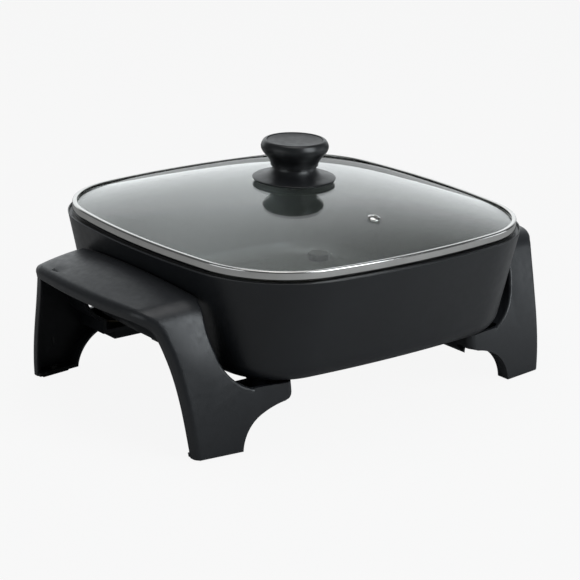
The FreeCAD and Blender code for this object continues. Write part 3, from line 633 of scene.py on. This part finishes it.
def coated(name, colour, speck, roughness, density, radius):
    """Sprayed non-stick coating: orange-peel bump and scattered pale specks."""
    material, tree, shader = new_material(name, colour, roughness)
    coords = tree.nodes.new("ShaderNodeTexCoord")
    cells = tree.nodes.new("ShaderNodeTexVoronoi")
    cells.inputs["Scale"].default_value = density
    tree.links.new(coords.outputs["Object"], cells.inputs["Vector"])
    random_part = tree.nodes.new("ShaderNodeSeparateColor")
    tree.links.new(cells.outputs["Color"], random_part.inputs["Color"])
    reach = levels(tree, random_part.outputs["Red"], 0.0, radius * density, SPECK_GATE, 1.0)
    inside = tree.nodes.new("ShaderNodeMath")
    inside.operation = "LESS_THAN"
    tree.links.new(cells.outputs["Distance"], inside.inputs[0])
    tree.links.new(reach, inside.inputs[1])
    clouds = ramp(tree, object_noise(tree, 26.0), [c * 0.88 for c in colour], [c * 1.14 for c in colour])
    mix = tree.nodes.new("ShaderNodeMix")
    mix.data_type = "RGBA"
    mix.inputs["B"].default_value = (*speck, 1.0)
    tree.links.new(clouds, mix.inputs["A"])
    tree.links.new(inside.outputs["Value"], mix.inputs["Factor"])
    tree.links.new(mix.outputs["Result"], shader.inputs["Base Color"])
    gloss = object_noise(tree, 160.0)
    tree.links.new(levels(tree, gloss, roughness - 0.03, roughness + 0.04), shader.inputs["Roughness"])
    bump(tree, shader, object_noise(tree, 900.0, 2.0), 0.00008, 0.25)
    return material


def metal(name, colour, roughness, scratches=900.0, stretch=(1.0, 1.0, 1.0)):
    """Metal with fine scratches in its gloss and faint shifts in its colour."""
    material, tree, shader = new_material(name, colour, roughness, 1.0)
    clouds = object_noise(tree, 60.0)
    low = [channel * 0.9 for channel in colour]
    tree.links.new(ramp(tree, clouds, low, colour), shader.inputs["Base Color"])
    gloss = object_noise(tree, scratches, 4.0, stretch)
    tree.links.new(levels(tree, gloss, roughness * 0.75, roughness * 1.35), shader.inputs["Roughness"])
    bump(tree, shader, object_noise(tree, scratches, 2.0, stretch), 0.00002, 0.15)
    return material


def clear_glass(name, colour):
    """Tempered glass with a faint roll of the surface. Lamps shine through it."""
    material, tree, shader = new_material(name, colour, 0.0)
    shader.inputs["IOR"].default_value = 1.5
    shader.inputs["Transmission Weight"].default_value = 1.0
    bump(tree, shader, object_noise(tree, 14.0, 1.0), 0.0004, 0.25)
    path = tree.nodes.new("ShaderNodeLightPath")
    through = tree.nodes.new("ShaderNodeBsdfTransparent")
    through.inputs["Color"].default_value = (*colour, 1.0)
    mix = tree.nodes.new("ShaderNodeMixShader")
    tree.links.new(path.outputs["Is Shadow Ray"], mix.inputs["Fac"])
    tree.links.new(shader.outputs["BSDF"], mix.inputs[1])
    tree.links.new(through.outputs["BSDF"], mix.inputs[2])
    tree.links.new(mix.outputs["Shader"], tree.nodes["Material Output"].inputs["Surface"])
    return material


def rubber(name, colour):
    """Matt rubber with a coarse grain."""
    return moulded(name, colour, roughness=0.75, grain=1300.0, depth=0.00015, spread=0.2)


# Pieces

def heel_rings(half, corner, bulge, z, radius, slope, steps):
    """Rings that turn from a flat floor up into the sloping wall."""
    turn = math.pi / 2.0 - math.atan(slope)
    reach = radius * math.tan(turn / 2.0)
    rings = []
    for step in range(steps + 1):
        angle = turn * step / steps
        inset = reach - radius * math.sin(angle)
        rings.append((squared(half - inset, corner - inset, bulge), z + radius * (1.0 - math.cos(angle))))
    return rings


def wall_rings(lower, upper, steps):
    """Rings spread evenly between two rings."""
    rings = []
    for step in range(1, steps + 1):
        part = step / steps
        rings.append((between(lower[0], upper[0], part), lower[1] + (upper[1] - lower[1]) * part))
    return rings


def pan_rings(pan):
    """Every ring of the pan's shell, from its underside over the lip to the cooking floor."""
    slope = (pan.top_half - pan.bottom_half) / (pan.top_z - pan.floor_z)
    outer = heel_rings(pan.bottom_half, pan.bottom_corner, pan.bottom_bulge, pan.floor_z, pan.heel,
                       slope, pan.heel_steps)
    top = squared(pan.top_half, pan.top_corner, pan.top_bulge)
    seat = squared(pan.seat_half, 78.0 * MM, 600.0 * MM)
    mouth = squared(pan.mouth_half, 78.0 * MM - pan.wall, 600.0 * MM)
    lip = 0.45 * MM
    outer += wall_rings(outer[-1], (drawn_in(top, 0.02 * MM), pan.top_z - lip), 5)
    edge = [
        (drawn_in(top, 0.12 * MM), pan.top_z - 0.2 * MM),
        (drawn_in(top, lip), pan.top_z - 0.02 * MM),
        (between(top, seat, 0.5), pan.top_z),
        (drawn_in(seat, -lip), pan.top_z - 0.02 * MM),
        (drawn_in(seat, -0.12 * MM), pan.top_z - 0.2 * MM),
        (seat, pan.top_z - lip),
        (seat, pan.seat_z + 0.15 * MM),
        (drawn_in(seat, 0.15 * MM), pan.seat_z),
        (drawn_in(mouth, -0.5 * MM), pan.seat_z),
        (drawn_in(mouth, -0.15 * MM), pan.seat_z - 0.15 * MM),
        (mouth, pan.seat_z - 0.5 * MM),
    ]
    floor_half = pan.bottom_half + slope * pan.floor - pan.wall
    bead_half = pan.bottom_half + slope * (pan.bead_z - pan.floor_z) - pan.wall
    bead = (squared(bead_half, pan.top_corner - pan.wall, pan.top_bulge), pan.bead_z)
    inner = heel_rings(floor_half, pan.bottom_corner, pan.bottom_bulge, pan.floor_z + pan.floor,
                       pan.inner_heel, slope, pan.heel_steps)
    wall = [bead] + wall_rings(bead, inner[-1], 4)
    return outer + edge + wall + list(reversed(inner[:-1]))


def rib_piece(pan):
    """Rib under the floor: a slab bent round the element's loop by spins and extrusions."""
    top = pan.floor_z + 1.0 * MM
    low = PAN_LOW.z
    deselect_all()
    bpy.ops.mesh.primitive_plane_add(size=1.0)
    rib = bpy.context.object
    end_x = 116.0 * MM
    for vertex in rib.data.vertices:
        across = pan.rib_half * (1.0 if vertex.co.x > 0.0 else -1.0)
        vertex.co = (end_x, pan.tail_half + across, top if vertex.co.y > 0.0 else low)
    bpy.ops.object.mode_set(mode="EDIT")
    bpy.ops.mesh.select_all(action="SELECT")
    near = pan.rib_loop - pan.rib_corner
    bend_x = pan.rib_loop + pan.tail_bend
    bend_y = pan.tail_half + pan.tail_bend

    def run(x, y):
        bpy.ops.mesh.extrude_region_move(TRANSFORM_OT_translate={"value": (x, y, 0.0)})

    def spin(x, y, degrees):
        bpy.ops.mesh.spin(steps=10, angle=math.radians(degrees), center=(x, y, 0.0), axis=(0.0, 0.0, 1.0))

    run(bend_x - end_x, 0.0)
    spin(bend_x, bend_y, -90.0)
    run(0.0, near - bend_y)
    corners = ((near, near, (-2.0, 0.0)), (-near, near, (0.0, -2.0)), (-near, -near, (2.0, 0.0)))
    for x, y, turn_to in corners:
        spin(x, y, 90.0)
        run(turn_to[0] * near, turn_to[1] * near)
    spin(near, -near, 90.0)
    run(0.0, near - bend_y)
    spin(bend_x, -bend_y, -90.0)
    run(end_x - bend_x, 0.0)
    close_up(rib)
    apply_modifier(
        rib, "BEVEL", width=1.2 * MM, segments=2, limit_method="ANGLE", angle_limit=math.radians(40.0),
    )
    return rib


def boss_piece(name, radius, low, high, hole):
    """Boss with a blind screw hole, open downwards."""
    bevel = 0.6 * MM
    profile = [
        (hole, low + 7.0 * MM),
        (hole, low + 0.4 * MM),
        (hole + 0.4 * MM, low),
        (radius - bevel, low),
        (radius - 0.2 * MM, low + 0.2 * MM),
        (radius, low + bevel),
        (radius, high),
    ]
    return turned(name, profile, 40)


class SKILLET_OT_pan(bpy.types.Operator):
    """Cast pan with its lip, seat, cooking floor, rib and bosses"""
    bl_idname = "skillet.pan"
    bl_label = "Pan"

    def execute(self, context):
        pan = context.scene.skillet_pan
        colours = context.scene.skillet_colours
        shell = ring_stack("pan_shell", pan_rings(pan), pan.steps)
        bosses = []
        spacer = 1.6 * MM
        root = 1.0 * MM
        boss = boss_piece("boss", pan.boss_radius, SHELF_TOP + spacer, pan.boss_top, 2.4 * MM)
        for sx in (-1.0, 1.0):
            for sy in (-1.0, 1.0):
                bosses.append(moved_copy(boss, "boss_copy", (sx * pan.boss_x, sy * pan.boss_y, 0.0)))
        small = boss_piece("small_boss", pan.small_radius, pan.small_low, pan.floor_z + root, 2.0 * MM)
        for side in (-1.0, 1.0):
            bosses.append(moved_copy(small, "boss_copy", (pan.small_x, side * pan.small_y, 0.0)))
        for pattern in (boss, small):
            bpy.data.objects.remove(pattern)
        body = joined([shell, rib_piece(pan)] + bosses, "pan_body")
        smooth(body, 30.0)
        outside = coated("satin coating", colours.coating, colours.speck, 0.36, 62.0, 0.42 * MM)
        inside = coated("cooking coating", colours.coating_inside, colours.speck, 0.42, 130.0, 0.55 * MM)
        finish(body, "base", outside, "pan_coating", "pan")
        body.data.materials.append(inside)
        for face in body.data.polygons:
            centre = face.center
            reach = max(abs(centre.x), abs(centre.y))
            if pan.floor_z + pan.floor - 0.1 * MM < centre.z < pan.seat_z and face.normal.z > 0.0:
                face.material_index = 1
            elif reach < pan.mouth_half and centre.z > pan.floor_z + pan.floor and self.faces_in(face):
                face.material_index = 1
        return {"FINISHED"}

    @staticmethod
    def faces_in(face):
        """True if a face looks towards the middle of the pan."""
        return face.normal.x * face.center.x + face.normal.y * face.center.y < 0.0


def dome_height(lid):
    """Height of the glass's upper face by place: round at the crown, squarer towards the rim."""
    power = lid.glass_squareness

    def height(x, y):
        corner = (abs(x) ** power + abs(y) ** power) ** (1.0 / power) / lid.glass_half
        part = min(corner, 1.0) ** 1.5
        radius = (1.0 - part) * math.hypot(x, y) / lid.glass_half + part * corner
        return lid.glass_crown - (lid.glass_crown - lid.glass_edge) * radius ** lid.glass_power

    return height


class SKILLET_OT_glass(bpy.types.Operator):
    """Domed tempered glass with its hole for the knob's screw"""
    bl_idname = "skillet.glass"
    bl_label = "Glass"

    def execute(self, context):
        lid = context.scene.skillet_lid
        colours = context.scene.skillet_colours
        top = dome_height(lid)
        inset = lid.rim_half - lid.glass_half
        outline = squared(lid.glass_half, lid.rim_corner - inset, lid.rim_bulge - inset)
        hole = circle(4.0 * MM)
        parts = [0.0, 0.08, 0.16, 0.26, 0.36, 0.46, 0.56, 0.65, 0.73, 0.80, 0.86, 0.91, 0.95, 0.98, 0.994]
        upper = [(between(hole, outline, part), top) for part in parts]

        def lowered(x, y):
            return top(x, y) - lid.glass_thick

        lower = [(ring, lowered) for ring, _ in reversed(upper)]
        edge = [
            (outline, lambda x, y: top(x, y) - 0.9 * MM),
            (outline, lambda x, y: lowered(x, y) + 0.9 * MM),
        ]
        piece = ring_stack("lid_dome", upper + edge + lower, lid.steps, ("joined", "joined"))
        smooth(piece, 50.0)
        finish(piece, "lid", clear_glass("tempered glass", colours.glass), "clear_glass", "lid_glass")
        return {"FINISHED"}


class SKILLET_OT_rim(bpy.types.Operator):
    """Polished steel band folded round the glass"""
    bl_idname = "skillet.rim"
    bl_label = "Rim"

    def execute(self, context):
        lid = context.scene.skillet_lid
        colours = context.scene.skillet_colours
        top = lid.rim_top
        roll = 1.5 * MM
        skirt = 136.0 * MM
        section = [(3.6 * MM, top - 0.75 * MM), (3.6 * MM, top - 0.3 * MM), (3.3 * MM, top - 0.12 * MM)]
        section += quarter((roll, top - roll), roll, 90.0, 180.0, 6)
        section += [(0.0, skirt + 1.2 * MM)]
        section += quarter((0.9 * MM, skirt + 0.9 * MM), 0.9 * MM, 180.0, 270.0, 4)
        section += [
            (1.6 * MM, skirt),
            (1.6 * MM, lid.rim_foot + 0.3 * MM),
            (1.9 * MM, lid.rim_foot),
            (2.9 * MM, lid.rim_foot),
            (3.2 * MM, lid.rim_foot + 0.3 * MM),
            (3.6 * MM, 136.5 * MM),
            (1.5 * MM, 136.55 * MM),
            (1.4 * MM, top - 0.9 * MM),
        ]
        rings = []
        for inward, z in section:
            sizes = (lid.rim_half - inward, lid.rim_corner - inward, lid.rim_bulge - inward)
            rings.append((squared(*sizes), z))
        piece = ring_stack("lid_band", rings, lid.steps, ("joined", "joined"))
        smooth(piece, 40.0)
        finish(piece, "lid", metal("polished steel", colours.steel, 0.13), "polished_steel", "lid_rim")
        return {"FINISHED"}


class SKILLET_OT_vent(bpy.types.Operator):
    """Steel rivet with its steam hole, square to the glass"""
    bl_idname = "skillet.vent"
    bl_label = "Steam vent"

    def execute(self, context):
        lid = context.scene.skillet_lid
        height = dome_height(lid)
        x, y = lid.vent_x, -lid.vent_front
        step = 0.5 * MM
        slope = (height(x, y + step) - height(x, y - step)) / (2.0 * step)
        edge = lid.vent_radius
        low = -lid.glass_thick
        profile = flowing([
            (lid.vent_bore, 0.7 * MM),
            (lid.vent_bore + 0.35 * MM, 1.25 * MM),
            (lid.vent_bore + 1.0 * MM, 1.3 * MM),
            (edge - 0.9 * MM, 0.85 * MM),
            (edge - 0.15 * MM, 0.4 * MM),
            (edge, 0.12 * MM),
        ], 3)
        profile += [
            (3.1 * MM, 0.02 * MM),
            (3.1 * MM, low),
            (edge - 0.8 * MM, low - 0.02 * MM),
            (edge - 1.1 * MM, low - 0.6 * MM),
            (lid.vent_bore + 0.2 * MM, low - 0.68 * MM),
            (lid.vent_bore, low - 0.5 * MM),
        ]
        piece = turned("steam_rivet", profile, 48, ("joined", "joined"))
        place = Matrix.Translation((x, y, height(x, y))) @ Matrix.Rotation(math.atan(slope), 4, "X")
        piece.data.transform(place)
        smooth(piece, 50.0)
        steel = bpy.data.materials["polished steel"]
        finish(piece, "lid", steel, "polished_steel", "vent_eyelet")
        return {"FINISHED"}


class SKILLET_OT_knob(bpy.types.Operator):
    """Knob: flared flange, waisted head and dished cap"""
    bl_idname = "skillet.knob"
    bl_label = "Knob"

    def execute(self, context):
        knob = context.scene.skillet_knob
        colours = context.scene.skillet_colours
        plastic = moulded("knob moulding", colours.knob_plastic, 0.33)
        self.flange(knob, plastic)
        self.head(knob, plastic)
        self.cap(knob, moulded("cap moulding", colours.cap_plastic, 0.46))
        return {"FINISHED"}

    @staticmethod
    def flange(knob, plastic):
        """Wide skirt, flared like a trumpet and hollow underneath."""
        low = FLANGE_LOW.z
        edge = knob.flange_radius
        hub_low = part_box("upper_gasket")[1].z
        profile = [
            (2.6 * MM, FLANGE_HIGH.z),
            (16.6 * MM, FLANGE_HIGH.z),
            (17.1 * MM, FLANGE_HIGH.z - 0.25 * MM),
        ]
        profile += flowing([
            (17.3 * MM, 176.8 * MM),
            (18.0 * MM, 174.6 * MM),
            (20.8 * MM, 171.8 * MM),
            (26.0 * MM, 169.6 * MM),
            (edge - 0.8 * MM, 168.0 * MM),
            (edge, 167.25 * MM),
            (edge - 0.6 * MM, low + 0.05 * MM),
        ], 6)
        profile += [
            (edge - 2.4 * MM, low + 0.25 * MM),
            (26.0 * MM, 168.0 * MM),
            (14.6 * MM, 168.1 * MM),
            (14.0 * MM, 167.6 * MM),
            (14.0 * MM, hub_low + 0.1 * MM),
            (2.6 * MM, hub_low + 0.1 * MM),
        ]
        piece = turned("knob_skirt", profile, knob.steps, ("joined", "joined"))
        smooth(piece, 38.0)
        finish(piece, "lid", plastic, "knob_moulding", "knob_flange")

    @staticmethod
    def head(knob, plastic):
        """Grip with a full shoulder and a recess for the cap."""
        base = HEAD_LOW.z
        top = HEAD_HIGH.z
        edge = knob.head_radius
        profile = [(knob.neck_radius - 0.5 * MM, base), (knob.neck_radius - 0.08 * MM, base + 0.2 * MM)]
        profile += flowing([
            (knob.neck_radius, base + 0.6 * MM),
            (19.9 * MM, 180.8 * MM),
            (21.9 * MM, 184.2 * MM),
            (24.6 * MM, 187.3 * MM),
            (26.7 * MM, 190.4 * MM),
            (edge, 193.6 * MM),
            (26.1 * MM, 196.7 * MM),
            (25.0 * MM, 198.0 * MM),
            (23.7 * MM, top),
        ], 6)
        profile += [
            (knob.cap_radius + 0.35 * MM, top - 0.15 * MM),
            (knob.cap_radius + 0.05 * MM, top - 0.5 * MM),
            (knob.cap_radius, CAP_LOW.z),
        ]
        piece = turned("knob_grip", profile, knob.steps)
        smooth(piece, 38.0)
        finish(piece, "lid", plastic, "knob_moulding", "knob_head")

    @staticmethod
    def cap(knob, plastic):
        """Dished disc in the top of the head."""
        edge = knob.cap_radius - 0.12 * MM
        high = CAP_HIGH.z
        profile = [(edge, CAP_LOW.z), (edge, high - 0.3 * MM), (edge - 0.35 * MM, high)]
        profile += flowing([
            (edge - 1.2 * MM, high - 0.12 * MM),
            (17.0 * MM, high - 0.75 * MM),
            (11.0 * MM, high - 1.08 * MM),
            (5.0 * MM, high - 1.24 * MM),
            (0.6 * MM, high - 1.3 * MM),
        ], 5)
        piece = turned("knob_disc", profile, knob.steps)
        smooth(piece, 38.0)
        finish(piece, "lid", plastic, "knob_cap_moulding", "knob_cap")


class SKILLET_OT_frames(bpy.types.Operator):
    """The two arch frames with rounded edges"""
    bl_idname = "skillet.frames"
    bl_label = "Frames"

    def execute(self, context):
        frames = context.scene.skillet_frames
        colours = context.scene.skillet_colours
        plastic = moulded("frame moulding", colours.frame_plastic, 0.37)
        for side, outwards in (("right", 1.0), ("left", -1.0)):
            node = side + "_frame"
            piece = merged_copy(node, side + "_arch")
            self.round_edges(piece, frames, outwards)
            self.crown(piece, frames)
            smooth(piece, SMOOTH_DEGREES)
            finish(piece, "base", plastic, "frame_moulding", node)
        return {"FINISHED"}

    @staticmethod
    def round_edges(piece, frames, outwards):
        """A wide roll along the arch's outer edge and smaller ones along its other long edges."""
        def away(middle):
            return Vector((0.0, middle.y, middle.z - ARCH_MIDDLE_Z)).normalized()

        def arm_corner(middle, first, second):
            return first.x * outwards < -0.8 and second.z < -0.6 and abs(middle.x) < ARM_END_X

        def outer_edge(middle, first, second):
            on_band = first.x * outwards > 0.75 and abs(middle.x) > BAND_FROM_X
            return on_band and second.dot(away(middle)) > 0.5

        def inner_edge(middle, first, second):
            return first.x * outwards < -0.35 and second.dot(away(middle)) > 0.5 and middle.z > LEG_FROM_Z

        def lip_edge(middle, first, second):
            on_band = first.x * outwards > 0.75 and abs(middle.x) > BAND_FROM_X
            return on_band and second.dot(away(middle)) < -0.5

        rounded(piece, arm_corner, frames.arm_corner)
        rounded(piece, outer_edge, frames.roll)
        rounded(piece, inner_edge, frames.inner_edge)
        rounded(piece, lip_edge, frames.lip_edge)

    @staticmethod
    def crown(piece, frames):
        """Swells each leg and the grip outwards across their width."""
        rise = frames.crown_full - frames.crown_from

        def high(edge):
            return max(vertex.co.z for vertex in edge.verts) > frames.crown_from

        refined(piece, high, CROWN_STEP)
        for vertex in piece.data.vertices:
            place = vertex.co
            part = min(max((place.z - frames.crown_from) / rise, 0.0), 1.0)
            fade = part * part * (3.0 - 2.0 * part)
            outer = CROWN_FOOT_X + CROWN_SPREAD * min(place.z / GRIP_Z, 1.0) ** 3
            across = min(max((abs(place.x) - CROWN_INNER_X) / (outer - CROWN_INNER_X), 0.0), 1.0)
            lift = frames.crown * fade * 4.0 * across * (1.0 - across)
            place += lift * Vector((0.0, place.y, place.z - ARCH_MIDDLE_Z)).normalized()


class SKILLET_OT_feet(bpy.types.Operator):
    """Four rubber pads"""
    bl_idname = "skillet.feet"
    bl_label = "Feet"

    def execute(self, context):
        pads = rubber("foot rubber", context.scene.skillet_colours.rubber)
        for depth in ("front", "rear"):
            for side in ("right", "left"):
                node = depth + "_" + side + "_foot"
                piece = softened(node, depth + "_" + side + "_pad", 0.35 * MM, 2)
                finish(piece, "base", pads, "foot_rubber", node)
        return {"FINISHED"}


class SKILLET_OT_inlet(bpy.types.Operator):
    """Inlet: guard, sensor well, pins and their collars, element ends"""
    bl_idname = "skillet.inlet"
    bl_label = "Inlet"

    def execute(self, context):
        colours = context.scene.skillet_colours
        guard = moulded("guard moulding", colours.guard_plastic, 0.5)
        block = metal("milled aluminium", colours.aluminium, 0.34)
        pins = metal("plated pins", colours.zinc, 0.2)
        ceramic = moulded("ceramic", colours.ceramic, 0.6)
        sheath = metal("element sheath", colours.sheath, 0.45)
        pieces = (
            ("socket_guard", "inlet_shroud", 0.5, guard, "guard_moulding"),
            ("sensor_well", "sensor_block", 0.4, block, "bare_aluminium"),
            ("terminal_pins", "contact_pins", 0.25, pins, "pin_metal"),
            ("terminal_collars", "ceramic_collars", 0.35, ceramic, "ceramic"),
            ("heating_element", "element_sheath", 0.6, sheath, "element_sheath"),
        )
        for node, name, edge, material, slot in pieces:
            piece = softened(node, name, edge * MM, 2)
            finish(piece, "base", material, slot, node)
        return {"FINISHED"}


class SKILLET_OT_fasteners(bpy.types.Operator):
    """Screws with cross recesses, washers, spacers, gaskets and the knob's insert"""
    bl_idname = "skillet.fasteners"
    bl_label = "Fasteners"

    def execute(self, context):
        colours = context.scene.skillet_colours
        zinc = metal("zinc plate", colours.zinc, 0.3)
        self.screws("frame_screws", "frame_bolts", "base", zinc, 4.8 * MM, 2.4 * MM)
        self.screws("guard_screws", "guard_bolts", "base", zinc, 3.8 * MM, 2.0 * MM)
        self.screws("knob_screw", "knob_bolt", "lid", zinc, 4.8 * MM, 2.5 * MM)
        silicone = rubber("silicone", colours.silicone)
        board = moulded("pressed board", colours.board, 0.8)
        brass = metal("turned brass", colours.brass, 0.25)
        pieces = (
            ("frame_washers", "frame_rings", "base", zinc, "fastener_steel"),
            ("heat_spacers", "spacer_rings", "base", board, "spacer_board"),
            ("lid_washer", "under_washer", "lid", zinc, "fastener_steel"),
            ("upper_gasket", "top_seal", "lid", silicone, "gasket_silicone"),
            ("lower_gasket", "under_seal", "lid", silicone, "gasket_silicone"),
            ("knob_insert", "brass_bush", "lid", brass, "insert_brass"),
        )
        for node, name, body, material, slot in pieces:
            finish(softened(node, name, 0.15 * MM, 2), body, material, slot, node)
        return {"FINISHED"}

    @staticmethod
    def screws(node, name, body, material, head, shank):
        """Every screw of a node: one is turned and then copied to each place."""
        low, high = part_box(node)
        height = 2.4 * MM if node == "guard_screws" else 3.2 * MM
        recess = cross(head * 0.55, head * 0.16)
        rings = [
            (drawn_in(recess, head * 0.08), low.z + height * 0.62),
            (recess, low.z + 0.12 * MM),
            (drawn_in(recess, -0.12 * MM), low.z),
            (circle(head * 0.66), low.z + 0.03 * MM),
            (circle(head * 0.86), low.z + height * 0.16),
            (circle(head * 0.97), low.z + height * 0.36),
            (circle(head), low.z + height * 0.55),
            (circle(head), low.z + height - 0.2 * MM),
            (circle(head - 0.2 * MM), low.z + height),
            (circle(shank), low.z + height),
            (circle(shank), high.z - 0.8 * MM),
            (circle(shank * 0.6), high.z),
        ]
        pattern = ring_stack("screw_pattern", rings, 48)
        x, y = high.x - head, high.y - head
        if node == "knob_screw":
            places = [(0.0, 0.0)]
        elif node == "guard_screws":
            places = [(x, -y), (x, y)]
        else:
            places = [(sx * x, sy * y) for sx in (-1.0, 1.0) for sy in (-1.0, 1.0)]
        copies = [moved_copy(pattern, "screw_copy", (px, py, 0.0)) for px, py in places]
        bpy.data.objects.remove(pattern)
        piece = joined(copies, name)
        smooth(piece, 35.0)
        finish(piece, body, material, "fastener_steel", node)


class SKILLET_OT_stage(bpy.types.Operator):
    """Floor, studio light, backdrop and camera"""
    bl_idname = "skillet.stage"
    bl_label = "Stage"

    def execute(self, context):
        stage = context.scene.skillet_stage
        self.floor(stage)
        self.world(context, stage)
        self.lamps()
        self.camera(context, stage)
        context.scene.view_settings.view_transform = "Standard"
        return {"FINISHED"}

    @staticmethod
    def seen_or(tree, studio, seen):
        """Mixes what the camera sees with what lights the pieces."""
        path = tree.nodes.new("ShaderNodeLightPath")
        either = tree.nodes.new("ShaderNodeMath")
        either.operation = "MAXIMUM"
        tree.links.new(path.outputs["Is Camera Ray"], either.inputs[0])
        tree.links.new(path.outputs["Is Transmission Ray"], either.inputs[1])
        mix = tree.nodes.new("ShaderNodeMixShader")
        tree.links.new(either.outputs["Value"], mix.inputs["Fac"])
        tree.links.new(studio, mix.inputs[1])
        tree.links.new(seen, mix.inputs[2])
        return mix.outputs["Shader"]

    def floor(self, stage):
        """Pale floor that fades to the backdrop's white."""
        deselect_all()
        bpy.ops.mesh.primitive_grid_add(x_subdivisions=8, y_subdivisions=8, size=FLOOR_SIZE)
        floor = bpy.context.object
        floor.name = "floor"
        material, tree, shader = new_material("floor paper", stage.floor_colour, 0.9)
        shader.inputs["Specular IOR Level"].default_value = 0.1
        bump(tree, shader, object_noise(tree, 400.0), 0.00005, 0.1)
        white = tree.nodes.new("ShaderNodeEmission")
        white.inputs["Color"].default_value = (1.0, 1.0, 1.0, 1.0)
        white.inputs["Strength"].default_value = stage.backdrop
        seen = tree.nodes.new("ShaderNodeMixShader")
        seen.inputs["Fac"].default_value = stage.floor_shade
        tree.links.new(white.outputs["Emission"], seen.inputs[1])
        tree.links.new(shader.outputs["BSDF"], seen.inputs[2])
        mixed = self.seen_or(tree, shader.outputs["BSDF"], seen.outputs["Shader"])
        tree.links.new(mixed, tree.nodes["Material Output"].inputs["Surface"])
        floor.data.materials.append(material)

    def world(self, context, stage):
        """White backdrop to the eye. The studio itself is bright behind the skillet and dim elsewhere."""
        world = bpy.data.worlds.new("studio")
        context.scene.world = world
        world.use_nodes = True
        tree = world.node_tree
        studio = tree.nodes["Background"]
        coords = tree.nodes.new("ShaderNodeTexCoord")
        facing = tree.nodes.new("ShaderNodeVectorMath")
        facing.operation = "DOT_PRODUCT"
        facing.inputs[1].default_value = Vector(stage.bright_side).normalized()
        tree.links.new(coords.outputs["Generated"], facing.inputs[0])
        wall = levels(tree, facing.outputs["Value"], stage.dim_level, stage.bright_level, *stage.bright_edge)
        tree.links.new(wall, studio.inputs["Strength"])
        studio.inputs["Color"].default_value = (*stage.studio_tint, 1.0)
        white = tree.nodes.new("ShaderNodeBackground")
        white.inputs["Color"].default_value = (1.0, 1.0, 1.0, 1.0)
        white.inputs["Strength"].default_value = stage.backdrop
        mixed = self.seen_or(tree, studio.outputs["Background"], white.outputs["Background"])
        tree.links.new(mixed, tree.nodes["World Output"].inputs["Surface"])

    @staticmethod
    def lamps():
        """Soft boxes: two above, one of which gloss doesn't mirror, one in front and one at each side."""
        boxes = (
            ("top box", (0.0, 0.0, 2.0), (1.3, 1.3), 9.5, (1.0, 1.0, 1.0), True),
            ("fill box", (0.0, 0.0, 2.2), (2.0, 2.0), 14.0, (1.0, 1.0, 1.0), False),
            ("front box", (0.48, -1.44, 1.06), (0.9, 1.2), 19.0, (0.90, 0.96, 1.0), True),
            ("right box", (1.75, -0.85, 0.35), (0.8, 0.7), 2.6, (0.90, 0.96, 1.0), True),
            ("left box", (-1.75, 0.10, 0.50), (1.3, 0.8), 4.0, (0.92, 0.97, 1.0), True),
        )
        for name, place, (width, height), power, colour, mirrored in boxes:
            lamp = bpy.data.lights.new(name, "AREA")
            lamp.shape = "RECTANGLE"
            lamp.size = width
            lamp.size_y = height
            lamp.energy = power
            lamp.color = colour
            holder = bpy.data.objects.new(name, lamp)
            bpy.context.scene.collection.objects.link(holder)
            holder.location = place
            holder.visible_glossy = mirrored
            aim = Vector((0.0, 0.0, 0.08)) - Vector(place)
            holder.rotation_euler = aim.to_track_quat("-Z", "Y").to_euler()

    @staticmethod
    def camera(context, stage):
        """Camera at the photograph's viewing angle."""
        data = bpy.data.cameras.new("view")
        data.lens = stage.lens
        camera = bpy.data.objects.new("view", data)
        context.scene.collection.objects.link(camera)
        turn = Matrix.Rotation(stage.camera_turn, 4, "Z")
        drop = Matrix.Rotation(math.pi / 2.0 - stage.camera_drop, 4, "X")
        roll = Matrix.Rotation(stage.camera_roll, 4, "Z")
        camera.matrix_world = Matrix.Translation(stage.camera_place) @ turn @ drop @ roll
        context.scene.camera = camera


class SKILLET_PT_panel(bpy.types.Panel):
    """Buttons for each piece of the skillet"""
    bl_label = "Electric Skillet"
    bl_idname = "SKILLET_PT_panel"
    bl_space_type = "VIEW_3D"
    bl_region_type = "UI"
    bl_category = "Skillet"

    def draw(self, context):
        for operator in OPERATORS:
            self.layout.operator(operator.bl_idname)


GROUPS = {
    "skillet_pan": SkilletPan,
    "skillet_lid": SkilletLid,
    "skillet_knob": SkilletKnob,
    "skillet_frames": SkilletFrames,
    "skillet_colours": SkilletColours,
    "skillet_stage": SkilletStage,
}
OPERATORS = (
    SKILLET_OT_stage,
    SKILLET_OT_pan,
    SKILLET_OT_glass,
    SKILLET_OT_rim,
    SKILLET_OT_vent,
    SKILLET_OT_knob,
    SKILLET_OT_frames,
    SKILLET_OT_feet,
    SKILLET_OT_inlet,
    SKILLET_OT_fasteners,
)


def register():
    """Registers the classes and adds the settings to the scene."""
    for group in GROUPS.values():
        bpy.utils.register_class(group)
    for operator in OPERATORS:
        bpy.utils.register_class(operator)
    bpy.utils.register_class(SKILLET_PT_panel)
    for name, group in GROUPS.items():
        setattr(bpy.types.Scene, name, bpy.props.PointerProperty(type=group))


def unregister():
    """Takes everything out again."""
    for name in GROUPS:
        delattr(bpy.types.Scene, name)
    bpy.utils.unregister_class(SKILLET_PT_panel)
    for operator in reversed(OPERATORS):
        bpy.utils.unregister_class(operator)
    for group in reversed(list(GROUPS.values())):
        bpy.utils.unregister_class(group)


def main():
    """Builds the whole scene."""
    register()
    bpy.ops.skillet.stage()
    bpy.ops.skillet.pan()
    bpy.ops.skillet.glass()
    bpy.ops.skillet.rim()
    bpy.ops.skillet.vent()
    bpy.ops.skillet.knob()
    bpy.ops.skillet.frames()
    bpy.ops.skillet.feet()
    bpy.ops.skillet.inlet()
    bpy.ops.skillet.fasteners()


if __name__ == "__main__":
    main()
